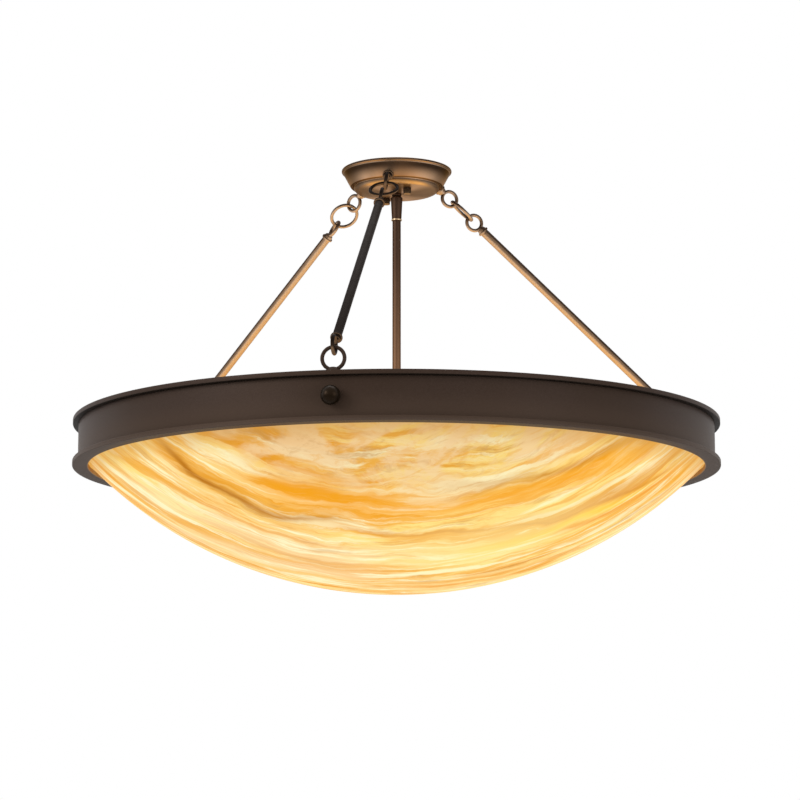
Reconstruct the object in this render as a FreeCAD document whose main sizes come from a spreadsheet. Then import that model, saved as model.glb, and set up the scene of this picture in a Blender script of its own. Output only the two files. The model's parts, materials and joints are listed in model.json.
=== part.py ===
import FreeCAD, Part
import Sketcher
import math
import os
import re

# Semi flush ceiling light, millimetres. The origin is the centre of the ceiling plane, where the canopy's
# rim lies against the ceiling, +Z is up, and the first of the three legs points to -Y.

# Driving sizes. A drop is a depth below the ceiling plane; a rise is a height above what is named.
SIZES = {
    # canopy: spun bowl with a rolled rim, a conical wall, a rounded shoulder and a nearly flat face
    "canopy_radius": 79.4,
    "canopy_bead": 2.1,
    "canopy_wall": 1.5,
    "canopy_shoulder_radius": 66.5,
    "canopy_shoulder_drop": 24.4,
    "canopy_dish_radius": 62.5,
    "canopy_dish_drop": 25.0,
    "canopy_face_radius": 53.0,
    "canopy_face_drop": 32.6,
    "canopy_depth": 34.5,
    # straps that hold the canopy to the ceiling box
    "strap_thickness": 2.5,
    "strap_width": 19.0,
    "box_screw_spacing": 88.9,
    "box_slot_radius": 2.4,
    "box_slot_length": 12.0,
    "canopy_screw_spacing": 69.85,
    "canopy_screw_radius": 2.05,
    "eyelet_radius": 5.0,
    "eyelet_bore": 3.8,
    "eyelet_flange": 8.0,
    "ground_screw_place": 17.0,
    "ground_screw_radius": 1.75,
    "ground_head_radius": 3.6,
    "ground_head_height": 2.2,
    # knurled thumb nuts under the canopy
    "thumb_nut_radius": 5.75,
    "thumb_nut_height": 8.0,
    "thumb_nut_floor": 1.4,
    # hang straight swivel and stem
    "nipple_radius": 3.2,
    "nipple_bore": 2.0,
    "nipple_rise": 9.0,
    "nipple_reach": 3.0,
    "locknut_across": 16.0,
    "locknut_height": 4.5,
    "swivel_collar_radius": 6.9,
    "swivel_collar_height": 3.2,
    "swivel_neck_radius": 3.5,
    "swivel_ball_radius": 6.2,
    "swivel_ball_drop": 47.0,
    "swivel_cup_drop": 39.8,
    "swivel_cup_mouth": 4.4,
    "swivel_cup_radius": 8.5,
    "swivel_cup_foot_radius": 6.9,
    "swivel_cup_length": 32.2,
    "swivel_seat_depth": 16.0,
    "ferrule_radius": 7.6,
    "ferrule_height": 2.4,
    "stem_radius": 6.0,
    "stem_bore": 4.2,
    "wires_radius": 1.9,
    # ring: two flange rings and the band between them
    "ring_top_drop": 372.6,
    "ring_height": 65.0,
    "ring_radius": 457.2,
    "flange_width": 22.1,
    "flange_overhang": 7.9,
    "flange_thickness": 6.35,
    "band_thickness": 3.2,
    # glass bowl
    "bowl_depth": 180.2,
    "bowl_wall": 5.0,
    "bowl_gap": 0.7,
    "bowl_lip_gap": 1.6,
    # legs
    "leg_radius": 81.5,
    "leg_drop": 35.5,
    "loop_radius": 11.4,
    "loop_wire": 2.5,
    "link_radius": 19.1,
    "link_wire": 2.4,
    "loop_neck_radius": 4.0,
    "loop_collar_start": 13.0,
    "loop_collar_radius": 6.8,
    "loop_collar_length": 4.2,
    "loop_lip_radius": 8.0,
    "loop_lip_height": 2.6,
    "shank_radius": 3.0,
    "shank_length": 12.0,
    "rod_radius": 6.0,
    "canopy_shank_length": 34.0,
    "washer_radius": 7.0,
    "washer_face": 25.5,
    "loop_nut_across": 12.0,
    "loop_nut_height": 5.0,
    # eyes on the ring, and what they screw into
    "eye_ring_radius": 14.5,
    "eye_wire": 2.5,
    "eye_boss_radius": 8.0,
    "eye_boss_height": 5.5,
    "eye_stud_radius": 2.5,
    "eye_stud_length": 18.0,
    "eye_wall_gap": 0.2,
    "block_width": 30.0,
    "block_depth": 12.0,
    "block_height": 38.0,
    # ball knobs on the band
    "knob_radius": 12.7,
    "knob_flat_angle": 62.0,
    "knob_drop": 33.0,
    "knob_bore_depth": 12.0,
    "knob_stud_radius": 3.0,
    # lamp cluster at the foot of the stem
    "hub_drop": 470.0,
    "hub_neck_radius": 10.0,
    "hub_shoulder": 6.0,
    "hub_radius": 30.0,
    "hub_height": 44.0,
    "hub_wall": 2.5,
    "stem_end": 16.0,
    "cap_thickness": 3.0,
    "finial_radius": 8.0,
    "finial_height": 16.0,
    "holder_tilt": 25.0,
    "holder_wall_drop": 24.0,
    "holder_radius": 15.0,
    "holder_length": 42.0,
    "holder_nipple_radius": 5.0,
    "lamp_base_radius": 13.2,
    "lamp_base_length": 26.0,
    "lamp_length": 109.0,
    "lamp_bulb_radius": 30.0,
    "lamp_neck_radius": 14.0,
    # clearances
    "screw_gap": 0.1,
    "turning_gap": 0.05,
    "free_gap": 0.3,
    "link_gap": 0.5,
}

LEG_ANGLES = (0.0, 120.0, 240.0)
SCREW_ANGLE = 36.0
LAMP_ANGLES = (45.0, 135.0, 225.0, 315.0)

# How far each ring hangs turned about its leg, as degrees for the three legs.
CANOPY_LOOP_SPINS = (12.0, 5.0, 0.0)
LINK_SPINS = (0.0, 16.0, 18.0)
ROD_LOOP_SPINS = (-12.0, 0.0, 38.0)

# Radii of the ring that follow from its outside.
RING_BORE = "(ring_radius - flange_width)"
BAND_RADIUS = "(ring_radius - flange_overhang)"
BAND_INSIDE = "(ring_radius - flange_overhang - band_thickness)"
EYE_PLACE = "(ring_radius - flange_overhang - band_thickness - eye_stud_radius - eye_wall_gap)"

UP = FreeCAD.Vector(0, 0, 1)
ALONG_Y = FreeCAD.Rotation(FreeCAD.Vector(1, 0, 0), -90)

doc = FreeCAD.newDocument("ceiling_light")
sheet = doc.addObject("Spreadsheet::Sheet", "Sizes")
for row, (alias, number) in enumerate(SIZES.items(), start=1):
    sheet.set(f"A{row}", alias)
    sheet.set(f"B{row}", str(number))
    sheet.setAlias(f"B{row}", alias)
doc.recompute()


def cell(expression):
    """Point each size named in an expression at its cell of the sheet."""

    def pointed(word):
        return "Sizes." + word[0] if word[0] in SIZES else word[0]

    return re.sub(r"[a-z][a-z_]*", pointed, expression)


def value(expression):
    """The number that an expression of the sheet's sizes has now."""
    return float(sheet.evalExpression(cell(expression)))


def bind(feature, **properties):
    """Bind properties of a feature to expressions of the sheet's sizes."""
    for name, expression in properties.items():
        feature.setExpression(name, cell(expression))
    return feature


def put(feature, foot):
    """Bind where a feature stands, as three expressions."""
    feature.Placement.Base = FreeCAD.Vector(*[value(expression) for expression in foot])
    for axis, expression in zip("xyz", foot):
        if expression != "0":
            feature.setExpression("Placement.Base." + axis, cell(expression))
    return feature


def cylinder(name, radius, height, foot=("0", "0", "0")):
    feature = doc.addObject("Part::Cylinder", name)
    return put(bind(feature, Radius=radius, Height=height), foot)


def box(name, length, width, height, foot):
    feature = doc.addObject("Part::Box", name)
    return put(bind(feature, Length=length, Width=width, Height=height), foot)


def hexagon(name, across, height, foot):
    feature = doc.addObject("Part::Prism", name)
    feature.Polygon = 6
    return put(bind(feature, Circumradius=f"({across}) / sqrt(3)", Height=height), foot)


def torus(name, radius, wire):
    """A ring of round wire that lies in the XZ plane, round the origin."""
    feature = doc.addObject("Part::Torus", name)
    bind(feature, Radius1=radius, Radius2=wire)
    feature.Placement.Rotation = ALONG_Y
    return feature


def fuse(name, pieces):
    feature = doc.addObject("Part::MultiFuse", name)
    feature.Shapes = pieces
    return feature


def cut(name, base, tool):
    feature = doc.addObject("Part::Cut", name)
    feature.Base = base
    feature.Tool = tool
    return feature


def common(name, base, tool):
    feature = doc.addObject("Part::Common", name)
    feature.Base = base
    feature.Tool = tool
    return feature


def compound(name, pieces):
    feature = doc.addObject("Part::Compound", name)
    feature.Links = pieces
    return feature


def move(feature, placement):
    """Carry a feature from its own frame to its place on the light, free of the bindings it had there."""
    local = feature.Placement
    for axis in "xyz":
        feature.setExpression("Placement.Base." + axis, None)
    feature.Placement = placement.multiply(local)
    return feature


def arc_between(start, end, centre):
    """The arc on the outer side of its centre, from one corner of a profile to the next."""
    angles = [math.atan2(point.x - centre.x, point.y - centre.y) for point in (start, end)]
    middle = sum(angles) / 2
    radius = (start - centre).Length
    crown = centre + FreeCAD.Vector(radius * math.sin(middle), radius * math.cos(middle), 0)
    return Part.Arc(start, crown, end)


def arc_centre(start, end, radius):
    """The point at a radius that is as far from one corner of a profile as from the next."""
    across = (end.x - radius) ** 2 - (start.x - radius) ** 2
    height = (across + end.y ** 2 - start.y ** 2) / (2 * (end.y - start.y))
    return FreeCAD.Vector(radius, height, 0)


def hold(sketch, kind, edge, end, number, expression):
    """Hold one end or centre of a sketch edge at a distance that the sheet gives, or on the axis."""
    if abs(number) < 1e-9:
        line = -2 if kind == "DistanceX" else -1
        sketch.addConstraint(Sketcher.Constraint("PointOnObject", edge, end, line))
        return
    constraint = sketch.addConstraint(Sketcher.Constraint(kind, -1, 1, edge, end, number))
    sketch.setExpression(f"Constraints[{constraint}]", cell(expression))


def lathe(name, corners, domes=(), rounds=()):
    """Turn a closed profile about Z. Corners are pairs of expressions, radius and height. From each corner
    listed in domes runs an arc round a centre on the axis, and from each listed in rounds an arc whose
    centre stands at the smaller radius of its two ends."""
    body = doc.addObject("PartDesign::Body", name)
    sketch = body.newObject("Sketcher::SketchObject", name + "_profile")
    plane = [item for item in body.Origin.OriginFeatures if item.Role == "XZ_Plane"][0]
    sketch.AttachmentSupport = (plane, [""])
    sketch.MapMode = "FlatFace"
    points = [FreeCAD.Vector(value(radius), value(height), 0) for radius, height in corners]
    following = points[1:] + points[:1]
    for index, (start, end) in enumerate(zip(points, following)):
        if index in domes:
            edge = arc_between(start, end, arc_centre(start, end, 0))
        elif index in rounds:
            edge = arc_between(start, end, arc_centre(start, end, min(start.x, end.x)))
        else:
            edge = Part.LineSegment(start, end)
        sketch.addGeometry(edge, False)

    def end_at(edge, point):
        return 1 if (sketch.getPoint(edge, 1) - point).Length < 1e-6 else 2

    for index, point in enumerate(following):
        after = (index + 1) % len(points)
        ends = (index, end_at(index, point), after, end_at(after, point))
        sketch.addConstraint(Sketcher.Constraint("Coincident", *ends))
    for index, (point, (radius, height)) in enumerate(zip(points, corners)):
        corner = end_at(index, point)
        hold(sketch, "DistanceX", index, corner, point.x, radius)
        hold(sketch, "DistanceY", index, corner, point.y, height)
        if index in domes:
            sketch.addConstraint(Sketcher.Constraint("PointOnObject", index, 3, -2))
        elif index in rounds:
            inner = min(point.x, following[index].x)
            expression = radius if inner == point.x else corners[index + 1][0]
            hold(sketch, "DistanceX", index, 3, inner, expression)
    turned = body.newObject("PartDesign::Revolution", name + "_turned")
    turned.Profile = sketch
    turned.ReferenceAxis = (sketch, ["V_Axis"])
    turned.Angle = 360
    return body


def outward(angle):
    """The level direction of a leg, at an angle round the light from -Y."""
    return FreeCAD.Vector(math.sin(math.radians(angle)), -math.cos(math.radians(angle)), 0)


def facing(foot, direction, sideways, spin=0.0):
    """A placement whose Z runs along a direction and whose Y starts sideways, then turns about Z by spin."""
    turn = FreeCAD.Rotation(sideways.cross(direction), sideways, direction, "ZYX")
    return FreeCAD.Placement(foot, turn * FreeCAD.Rotation(UP, spin))


def upright(angle, radius, height):
    """A placement at a radius and height of a leg, with Z up and Y along the ring."""
    sideways = UP.cross(outward(angle))
    return facing(outward(angle) * radius + UP * height, UP, sideways)


# The line of a leg runs from the centre of its canopy loop to the wire of the eye that it pulls on.
EYE_PULL_RISE = value("-ring_top_drop + eye_ring_radius + eye_wire + eye_ring_radius")
LEG_RUN = value(f"{EYE_PLACE} - leg_radius")
LEG_FALL = value("-leg_drop") - EYE_PULL_RISE
LEG_SPAN = math.hypot(LEG_RUN, LEG_FALL)


def leg_placement(angle, distance, spin, upward):
    """A place on a leg's line, at a distance below the centre of its canopy loop."""
    down = (outward(angle) * LEG_RUN - UP * LEG_FALL) / LEG_SPAN
    foot = outward(angle) * value("leg_radius") + UP * value("-leg_drop") + down * distance
    direction = down * -1 if upward else down
    return facing(foot, direction, UP.cross(outward(angle)), spin)


# The rings of a leg hang in each other with a small gap, so each centre follows from the one above it.
HOOK = value("loop_wire + link_wire + link_gap")
LINK_PLACE = value("loop_radius + link_radius") - HOOK
ROD_TOP_PLACE = LINK_PLACE + value("link_radius + loop_radius") - HOOK
ROD_FOOT_PLACE = LEG_SPAN - value("loop_radius - (loop_wire + eye_wire + link_gap)")
ROD_ENDS = value("loop_collar_start + loop_collar_length + loop_lip_height")


def canopy_outline():
    """The outside of the canopy, from the ceiling down to the middle of its dish."""
    return [
        ("canopy_radius - canopy_bead", "0"),
        ("canopy_radius - canopy_bead", "-2 * canopy_bead"),
        ("canopy_shoulder_radius", "-canopy_shoulder_drop"),
        ("canopy_dish_radius + canopy_wall", "-canopy_dish_drop - canopy_wall / 2"),
        ("canopy_dish_radius", "-canopy_dish_drop"),
        ("canopy_face_radius", "-canopy_face_drop"),
        ("0", "-canopy_depth"),
    ]


def canopy_lining():
    """The inside of the canopy, from the middle of its dish up to the ceiling."""
    return [
        ("0", "canopy_wall - canopy_depth"),
        ("canopy_face_radius", "canopy_wall - canopy_face_drop"),
        ("canopy_dish_radius - canopy_wall", "canopy_wall - canopy_dish_drop"),
        ("canopy_shoulder_radius - 0.8 * canopy_wall", "canopy_wall - canopy_shoulder_drop"),
        ("canopy_radius - canopy_bead - canopy_wall", "-2 * canopy_bead"),
        ("canopy_radius - canopy_bead - canopy_wall", "0"),
    ]


def leg_shank_hole(name, radius, number):
    """A cutter along a leg's shank, through the canopy wall."""
    hole = cylinder(name, radius, "canopy_shank_length")
    return move(hole, leg_placement(LEG_ANGLES[number], 0, 0, True))


def screw_places():
    """The two canopy screws, across the canopy from each other."""
    return [outward(SCREW_ANGLE) * side * value("canopy_screw_spacing / 2") for side in (1, -1)]


def screw_rods(name, radius, height, drop):
    """Two upright rods or holes at the canopy screws, down to a drop below the ceiling."""
    rods = []
    for number, place in enumerate(screw_places(), start=1):
        rod = cylinder(f"{name}_{number}", radius, height)
        foot = place + UP * value(f"-({drop})")
        rods.append(move(rod, FreeCAD.Placement(foot, FreeCAD.Rotation())))
    return rods


def make_canopy():
    shell = lathe("canopy_shell", canopy_outline() + canopy_lining(), domes=(5, 7), rounds=(0, 4, 8))
    middle = cylinder("canopy_middle_hole", "nipple_radius + screw_gap", "canopy_depth",
                      ("0", "0", "-canopy_depth"))
    screws = screw_rods("canopy_screw_hole", "canopy_screw_radius + screw_gap",
                        "canopy_depth", "canopy_depth")
    shanks = [leg_shank_hole(f"canopy_loop_hole_{leg + 1}", "shank_radius + screw_gap", leg)
              for leg in range(3)]
    return cut("canopy", shell, fuse("canopy_holes", [middle, *screws, *shanks]))


def slot(name, side):
    """A slot along X for a ceiling box screw, centred at half the screw spacing."""
    half = "(box_slot_length / 2 - box_slot_radius)"
    middle = f"{side} * box_screw_spacing / 2"
    height = "3 * strap_thickness"
    low = "-2 * strap_thickness"
    straight = box(name + "_run", f"2 * {half}", "2 * box_slot_radius", height,
                   (f"{middle} - {half}", "-box_slot_radius", low))
    ends = [cylinder(f"{name}_end_{end}", "box_slot_radius", height,
                     (f"{middle} + {end} * {half}", "0", low))
            for end in (1, -1)]
    return fuse(name, [straight, *ends])


def make_box_strap():
    length = "(box_screw_spacing + 2 * box_slot_length)"
    bar = box("box_strap_bar", length, "strap_width", "strap_thickness",
              (f"-{length} / 2", "-strap_width / 2", "-strap_thickness"))
    slots = [slot("box_slot_right", 1), slot("box_slot_left", -1)]
    middle = cylinder("box_strap_hole", "eyelet_radius", "2 * strap_thickness",
                      ("0", "0", "-2 * strap_thickness"))
    return cut("box_strap", bar, fuse("box_strap_holes", [*slots, middle]))


def make_canopy_strap():
    length = "(canopy_screw_spacing + strap_width)"
    bar = box("canopy_strap_bar", length, "strap_width", "strap_thickness",
              (f"-{length} / 2", "-strap_width / 2", "-2 * strap_thickness"))
    move(bar, FreeCAD.Placement(FreeCAD.Vector(), FreeCAD.Rotation(UP, SCREW_ANGLE - 90)))
    screws = screw_rods("canopy_strap_tapping", "canopy_screw_radius",
                        "4 * strap_thickness", "3 * strap_thickness")
    middle = cylinder("canopy_strap_hole", "eyelet_radius", "2 * strap_thickness",
                      ("0", "0", "-3 * strap_thickness"))
    ground = cylinder("canopy_strap_ground", "ground_screw_radius", "4 * strap_thickness")
    move(ground, FreeCAD.Placement(ground_place(), FreeCAD.Rotation()))
    return cut("canopy_strap", bar, fuse("canopy_strap_holes", [*screws, middle, ground]))


def ground_place():
    """The foot of the ground screw's hole in the canopy strap."""
    return outward(SCREW_ANGLE) * value("ground_screw_place") + UP * value("-3 * strap_thickness")


def make_ground_screw():
    shank = cylinder("ground_shank", "ground_screw_radius", "strap_thickness",
                     ("0", "0", "strap_thickness"))
    head = cylinder("ground_head", "ground_head_radius", "ground_head_height",
                    ("0", "0", "strap_thickness - ground_head_height"))
    screw = fuse("ground_screw", [shank, head])
    return move(screw, FreeCAD.Placement(ground_place(), FreeCAD.Rotation()))


def make_eyelet():
    """A turned over tube that rivets the two straps together."""
    foot = ("0", "0", "-2.5 * strap_thickness")
    rim = cylinder("eyelet_rim", "eyelet_flange", "strap_thickness / 2", foot)
    barrel = cylinder("eyelet_barrel", "eyelet_radius", "2.5 * strap_thickness", foot)
    bore = cylinder("eyelet_hole", "eyelet_bore", "3 * strap_thickness", foot)
    return cut("strap_eyelet", fuse("eyelet_solid", [rim, barrel]), bore)


# The flat tops of the thumb nuts clear the lowest part of the domed face above them.
NUT_DROP = "(canopy_depth + free_gap)"


def make_canopy_screws():
    reach = f"({NUT_DROP} + thumb_nut_height - thumb_nut_floor - free_gap)"
    rods = screw_rods("canopy_screw", "canopy_screw_radius", f"{reach} - strap_thickness", reach)
    return compound("canopy_screws", rods)


def make_thumb_nut(number):
    chamfer = "canopy_wall / 2"
    solid = lathe(f"thumb_nut_body_{number}", [
        ("0", "0"),
        (f"thumb_nut_radius - {chamfer}", "0"),
        ("thumb_nut_radius", chamfer),
        ("thumb_nut_radius", f"thumb_nut_height - {chamfer}"),
        (f"thumb_nut_radius - {chamfer}", "thumb_nut_height"),
        ("0", "thumb_nut_height"),
    ])
    bore = cylinder(f"thumb_nut_bore_{number}", "canopy_screw_radius + turning_gap", "thumb_nut_height",
                    ("0", "0", "thumb_nut_floor"))
    place = screw_places()[number - 1] - UP * value(f"{NUT_DROP} + thumb_nut_height")
    return move(cut(f"thumb_nut_{number}", solid, bore), FreeCAD.Placement(place, FreeCAD.Rotation()))


def stalk(name, lip_height, shank_length):
    """The turned stalk of a loop: neck, flared collar, lip and threaded shank, along +Z from its ring."""
    lip = "(loop_collar_start + loop_collar_length)"
    end = f"({lip} + {lip_height})"
    edge = "loop_lip_height / 4"
    return lathe(name, [
        ("0", "loop_radius"),
        ("loop_neck_radius", "loop_radius"),
        ("loop_neck_radius", "loop_collar_start"),
        ("(loop_neck_radius + loop_collar_radius) / 2", "loop_collar_start"),
        ("loop_collar_radius", lip),
        (f"loop_lip_radius - {edge}", lip),
        ("loop_lip_radius", f"{lip} + {edge}"),
        ("loop_lip_radius", f"{end} - {edge}"),
        (f"loop_lip_radius - {edge}", end),
        ("shank_radius", end),
        ("shank_radius", f"{end} + {shank_length}"),
        ("0", f"{end} + {shank_length}"),
    ])


def make_rod_loop(name, leg, distance, spin, upward):
    ring = torus(name + "_ring", "loop_radius", "loop_wire")
    stem = stalk(name + "_stalk", "loop_lip_height", "shank_length")
    return move(fuse(name, [ring, stem]), leg_placement(LEG_ANGLES[leg], distance, spin, upward))


def make_canopy_loop(leg, blank):
    """A loop whose lip is shaped to the canopy's wall and whose shank goes through it."""
    name = f"canopy_loop_{leg + 1}"
    place = leg_placement(LEG_ANGLES[leg], 0, CANOPY_LOOP_SPINS[leg], True)
    ring = move(torus(name + "_ring", "loop_radius", "loop_wire"), place)
    head = move(stalk(name + "_stalk", "3 * loop_lip_height", "free_gap"), place)
    shaped = cut(name + "_shaped", head, blank)
    shank = cylinder(name + "_shank", "shank_radius", "canopy_shank_length - loop_collar_start",
                     ("0", "0", "loop_collar_start"))
    return fuse(name, [ring, shaped, move(shank, place)])


def make_saddle_washers(lining):
    """Washers shaped to the inside of the canopy wall, one behind each loop."""
    washers = []
    for leg, angle in enumerate(LEG_ANGLES, start=1):
        disc = cylinder(f"washer_disc_{leg}", "washer_radius", "washer_face - loop_collar_start",
                        ("0", "0", "loop_collar_start"))
        hole = cylinder(f"washer_hole_{leg}", "shank_radius", "canopy_shank_length")
        ring = cut(f"washer_ring_{leg}", disc, hole)
        washers.append(common(f"washer_{leg}", move(ring, leg_placement(angle, 0, 0, True)), lining))
    return compound("saddle_washers", washers)


def make_loop_nuts():
    nuts = []
    for leg, angle in enumerate(LEG_ANGLES, start=1):
        solid = hexagon(f"loop_nut_hexagon_{leg}", "loop_nut_across", "loop_nut_height",
                        ("0", "0", "washer_face"))
        hole = cylinder(f"loop_nut_hole_{leg}", "shank_radius", "canopy_shank_length")
        nuts.append(move(cut(f"loop_nut_{leg}", solid, hole), leg_placement(angle, 0, 0, True)))
    return compound("canopy_loop_nuts", nuts)


def make_link(leg):
    ring = torus(f"link_{leg + 1}", "link_radius", "link_wire")
    return move(ring, leg_placement(LEG_ANGLES[leg], LINK_PLACE, 90 + LINK_SPINS[leg], False))


def make_rod(leg):
    """A round rod, drilled at both ends for the shanks of its loops."""
    name = f"rod_{leg + 1}"
    length = ROD_FOOT_PLACE - ROD_TOP_PLACE - 2 * ROD_ENDS
    bar = cylinder(name + "_bar", "rod_radius", str(length))
    top = cylinder(name + "_top_bore", "shank_radius", "shank_length + free_gap")
    foot = cylinder(name + "_foot_bore", "shank_radius", "shank_length + free_gap",
                    ("0", "0", f"{length} - shank_length - free_gap"))
    rod = cut(name, bar, fuse(name + "_bores", [top, foot]))
    return move(rod, leg_placement(LEG_ANGLES[leg], ROD_TOP_PLACE + ROD_ENDS, 0, False))


def make_eye(leg):
    """An eye on a boss, with a stud through the top flange."""
    name = f"ring_eye_{leg + 1}"
    ring = torus(name + "_ring", "eye_ring_radius", "eye_wire")
    ring.Placement.Rotation = FreeCAD.Rotation(FreeCAD.Vector(0, 1, 0), 90)
    put(ring, ("0", "0", "eye_ring_radius + eye_wire"))
    boss = doc.addObject("Part::Cone", name + "_boss")
    bind(boss, Radius1="eye_boss_radius", Radius2="eye_boss_radius - eye_wire / 2", Height="eye_boss_height")
    stud = cylinder(name + "_stud", "eye_stud_radius", "eye_stud_length", ("0", "0", "-eye_stud_length"))
    solid = fuse(name, [ring, boss, stud])
    return move(solid, upright(LEG_ANGLES[leg], value(EYE_PLACE), value("-ring_top_drop")))


def eye_holes(name, height, drop):
    """Upright holes for the studs of the eyes, from a drop below the ceiling upwards."""
    holes = []
    for leg, angle in enumerate(LEG_ANGLES, start=1):
        hole = cylinder(f"{name}_{leg}", "eye_stud_radius", height)
        holes.append(move(hole, upright(angle, value(EYE_PLACE), value(f"-({drop})"))))
    return holes


def across_band(feature, angle, radius):
    """Lay a feature that was made along Z outwards through the band, at the height of the knobs."""
    drop = value("ring_top_drop + knob_drop")
    foot = outward(angle) * radius - UP * drop
    return move(feature, facing(foot, outward(angle), UP.cross(outward(angle))))


def flange(name, drop):
    """A flat ring with its top at a drop below the ceiling."""
    top = f"-({drop})"
    return lathe(name, [
        (RING_BORE, f"{top} - flange_thickness"),
        ("ring_radius", f"{top} - flange_thickness"),
        ("ring_radius", top),
        (RING_BORE, top),
    ])


def make_top_ring():
    plate = flange("top_ring_plate", "ring_top_drop")
    holes = eye_holes("top_ring_hole", "3 * flange_thickness", "ring_top_drop + 2 * flange_thickness")
    return cut("top_ring", plate, fuse("top_ring_holes", holes))


def make_band():
    low = "flange_thickness - ring_top_drop - ring_height"
    high = "-ring_top_drop - flange_thickness"
    hoop = lathe("band_hoop", [
        (BAND_INSIDE, low),
        (BAND_RADIUS, low),
        (BAND_RADIUS, high),
        (BAND_INSIDE, high),
    ])
    holes = [across_band(cylinder(f"band_hole_{leg}", "knob_stud_radius", "4 * band_thickness"), angle,
                         value(f"{BAND_INSIDE} - band_thickness"))
             for leg, angle in enumerate(LEG_ANGLES, start=1)]
    return cut("band", hoop, fuse("band_holes", holes))


def make_block(leg):
    """A block behind the band, tapped from above for the eye and from outside for the knob's stud."""
    name = f"hanger_block_{leg + 1}"
    angle = LEG_ANGLES[leg]
    bar = box(name + "_bar", "2 * block_depth", "block_width", "block_height",
              ("-block_depth", "-block_width / 2", "-block_height"))
    drop = value("-ring_top_drop - flange_thickness")
    inside = value(BAND_INSIDE)
    hoop = cylinder(name + "_hoop", BAND_INSIDE, "ring_height",
                    ("0", "0", "-ring_top_drop - ring_height"))
    shaped = common(name + "_shaped", move(bar, upright(angle, inside, drop)), hoop)
    well = cylinder(name + "_well", "eye_stud_radius", "eye_stud_length + free_gap")
    move(well, upright(angle, value(EYE_PLACE), value("-ring_top_drop - eye_stud_length - free_gap")))
    tapping = across_band(cylinder(name + "_tapping", "knob_stud_radius", "block_depth"), angle,
                          inside - value("0.8 * block_depth"))
    return cut(name, shaped, fuse(name + "_holes", [well, tapping]))


def make_knob_studs():
    """Studs that tie each block to the band and carry the ball knobs."""
    length = "(0.8 * block_depth + band_thickness + knob_bore_depth)"
    studs = [across_band(cylinder(f"knob_stud_{leg}", "knob_stud_radius", length), angle,
                         value(f"{BAND_INSIDE} - 0.8 * block_depth"))
             for leg, angle in enumerate(LEG_ANGLES, start=1)]
    return compound("knob_studs", studs)


def make_ball_knob(leg):
    name = f"ball_knob_{leg + 1}"
    flat = "knob_radius * sin(knob_flat_angle)"
    ball = doc.addObject("Part::Sphere", name + "_ball")
    bind(ball, Radius="knob_radius", Angle1="-knob_flat_angle")
    put(ball, ("0", "0", flat))
    bore = cylinder(name + "_bore", "knob_stud_radius + turning_gap", "knob_bore_depth")
    return across_band(cut(name, ball, bore), LEG_ANGLES[leg], value(f"{BAND_RADIUS} + free_gap"))


def make_bowl():
    """A shallow slumped bowl with a flat lip that rests on the seat ring."""
    seat = "(flange_thickness - ring_top_drop - ring_height)"
    outside = f"({RING_BORE} - bowl_gap)"
    return lathe("glass_bowl", [
        ("0", f"{seat} - bowl_depth"),
        (outside, seat),
        (f"{BAND_INSIDE} - bowl_lip_gap", seat),
        (f"{BAND_INSIDE} - bowl_lip_gap", f"{seat} + bowl_wall"),
        (f"{outside} - bowl_wall", f"{seat} + bowl_wall"),
        ("0", f"{seat} - bowl_depth + bowl_wall"),
    ], domes=(0, 4))


def make_stem_nipple():
    tube = cylinder("stem_nipple_tube", "nipple_radius", "nipple_rise + nipple_reach",
                    ("0", "0", "-canopy_depth - nipple_reach"))
    bore = cylinder("stem_nipple_bore", "nipple_bore", "nipple_rise + nipple_reach",
                    ("0", "0", "-canopy_depth - nipple_reach"))
    return cut("stem_nipple", tube, bore)


def make_stem_locknut():
    seat = "canopy_wall + free_gap / 2 - canopy_depth"
    solid = hexagon("stem_locknut_hexagon", "locknut_across", "locknut_height", ("0", "0", seat))
    hole = cylinder("stem_locknut_hole", "nipple_radius", "locknut_height", ("0", "0", seat))
    return cut("stem_locknut", solid, hole)


def make_swivel_ball():
    """The turning half of the hang straight swivel: a collar on the nipple, a neck and a ball."""
    top = "(canopy_depth + free_gap)"
    collar = cylinder("swivel_collar", "swivel_collar_radius", "swivel_collar_height",
                      ("0", "0", f"-{top} - swivel_collar_height"))
    neck = cylinder("swivel_neck", "swivel_neck_radius", f"swivel_ball_drop - {top}",
                    ("0", "0", "-swivel_ball_drop"))
    ball = doc.addObject("Part::Sphere", "swivel_sphere")
    put(bind(ball, Radius="swivel_ball_radius"), ("0", "0", "-swivel_ball_drop"))
    socket = cylinder("swivel_socket", "nipple_radius + turning_gap", "nipple_reach + free_gap",
                      ("0", "0", "-canopy_depth - nipple_reach - free_gap"))
    bore = cylinder("swivel_bore", "nipple_bore", "2 * swivel_ball_radius + swivel_ball_drop - canopy_depth",
                    ("0", "0", "-swivel_ball_drop - 1.5 * swivel_ball_radius"))
    solid = fuse("swivel_solid", [collar, neck, ball])
    return cut("swivel_ball", solid, fuse("swivel_holes", [socket, bore]))


def make_swivel_cup():
    """The hanging half: a tapered cup whose round seat holds the ball, and whose foot holds the stem."""
    seat = "(swivel_ball_radius + turning_gap)"
    foot = "(swivel_cup_drop + swivel_cup_length)"
    lip = f"-swivel_ball_drop + sqrt({seat} * {seat} - swivel_cup_mouth * swivel_cup_mouth)"
    return lathe("swivel_cup", [
        ("swivel_cup_mouth", "-swivel_cup_drop"),
        ("swivel_cup_mouth", lip),
        (seat, "-swivel_ball_drop"),
        (seat, f"swivel_seat_depth - {foot}"),
        ("stem_radius", f"swivel_seat_depth - {foot}"),
        ("stem_radius", f"-{foot}"),
        ("swivel_cup_foot_radius", f"-{foot}"),
        ("swivel_cup_radius", "-swivel_cup_drop - canopy_wall"),
        ("swivel_cup_radius - canopy_wall / 2", "-swivel_cup_drop"),
    ], domes=(1,))


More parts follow.
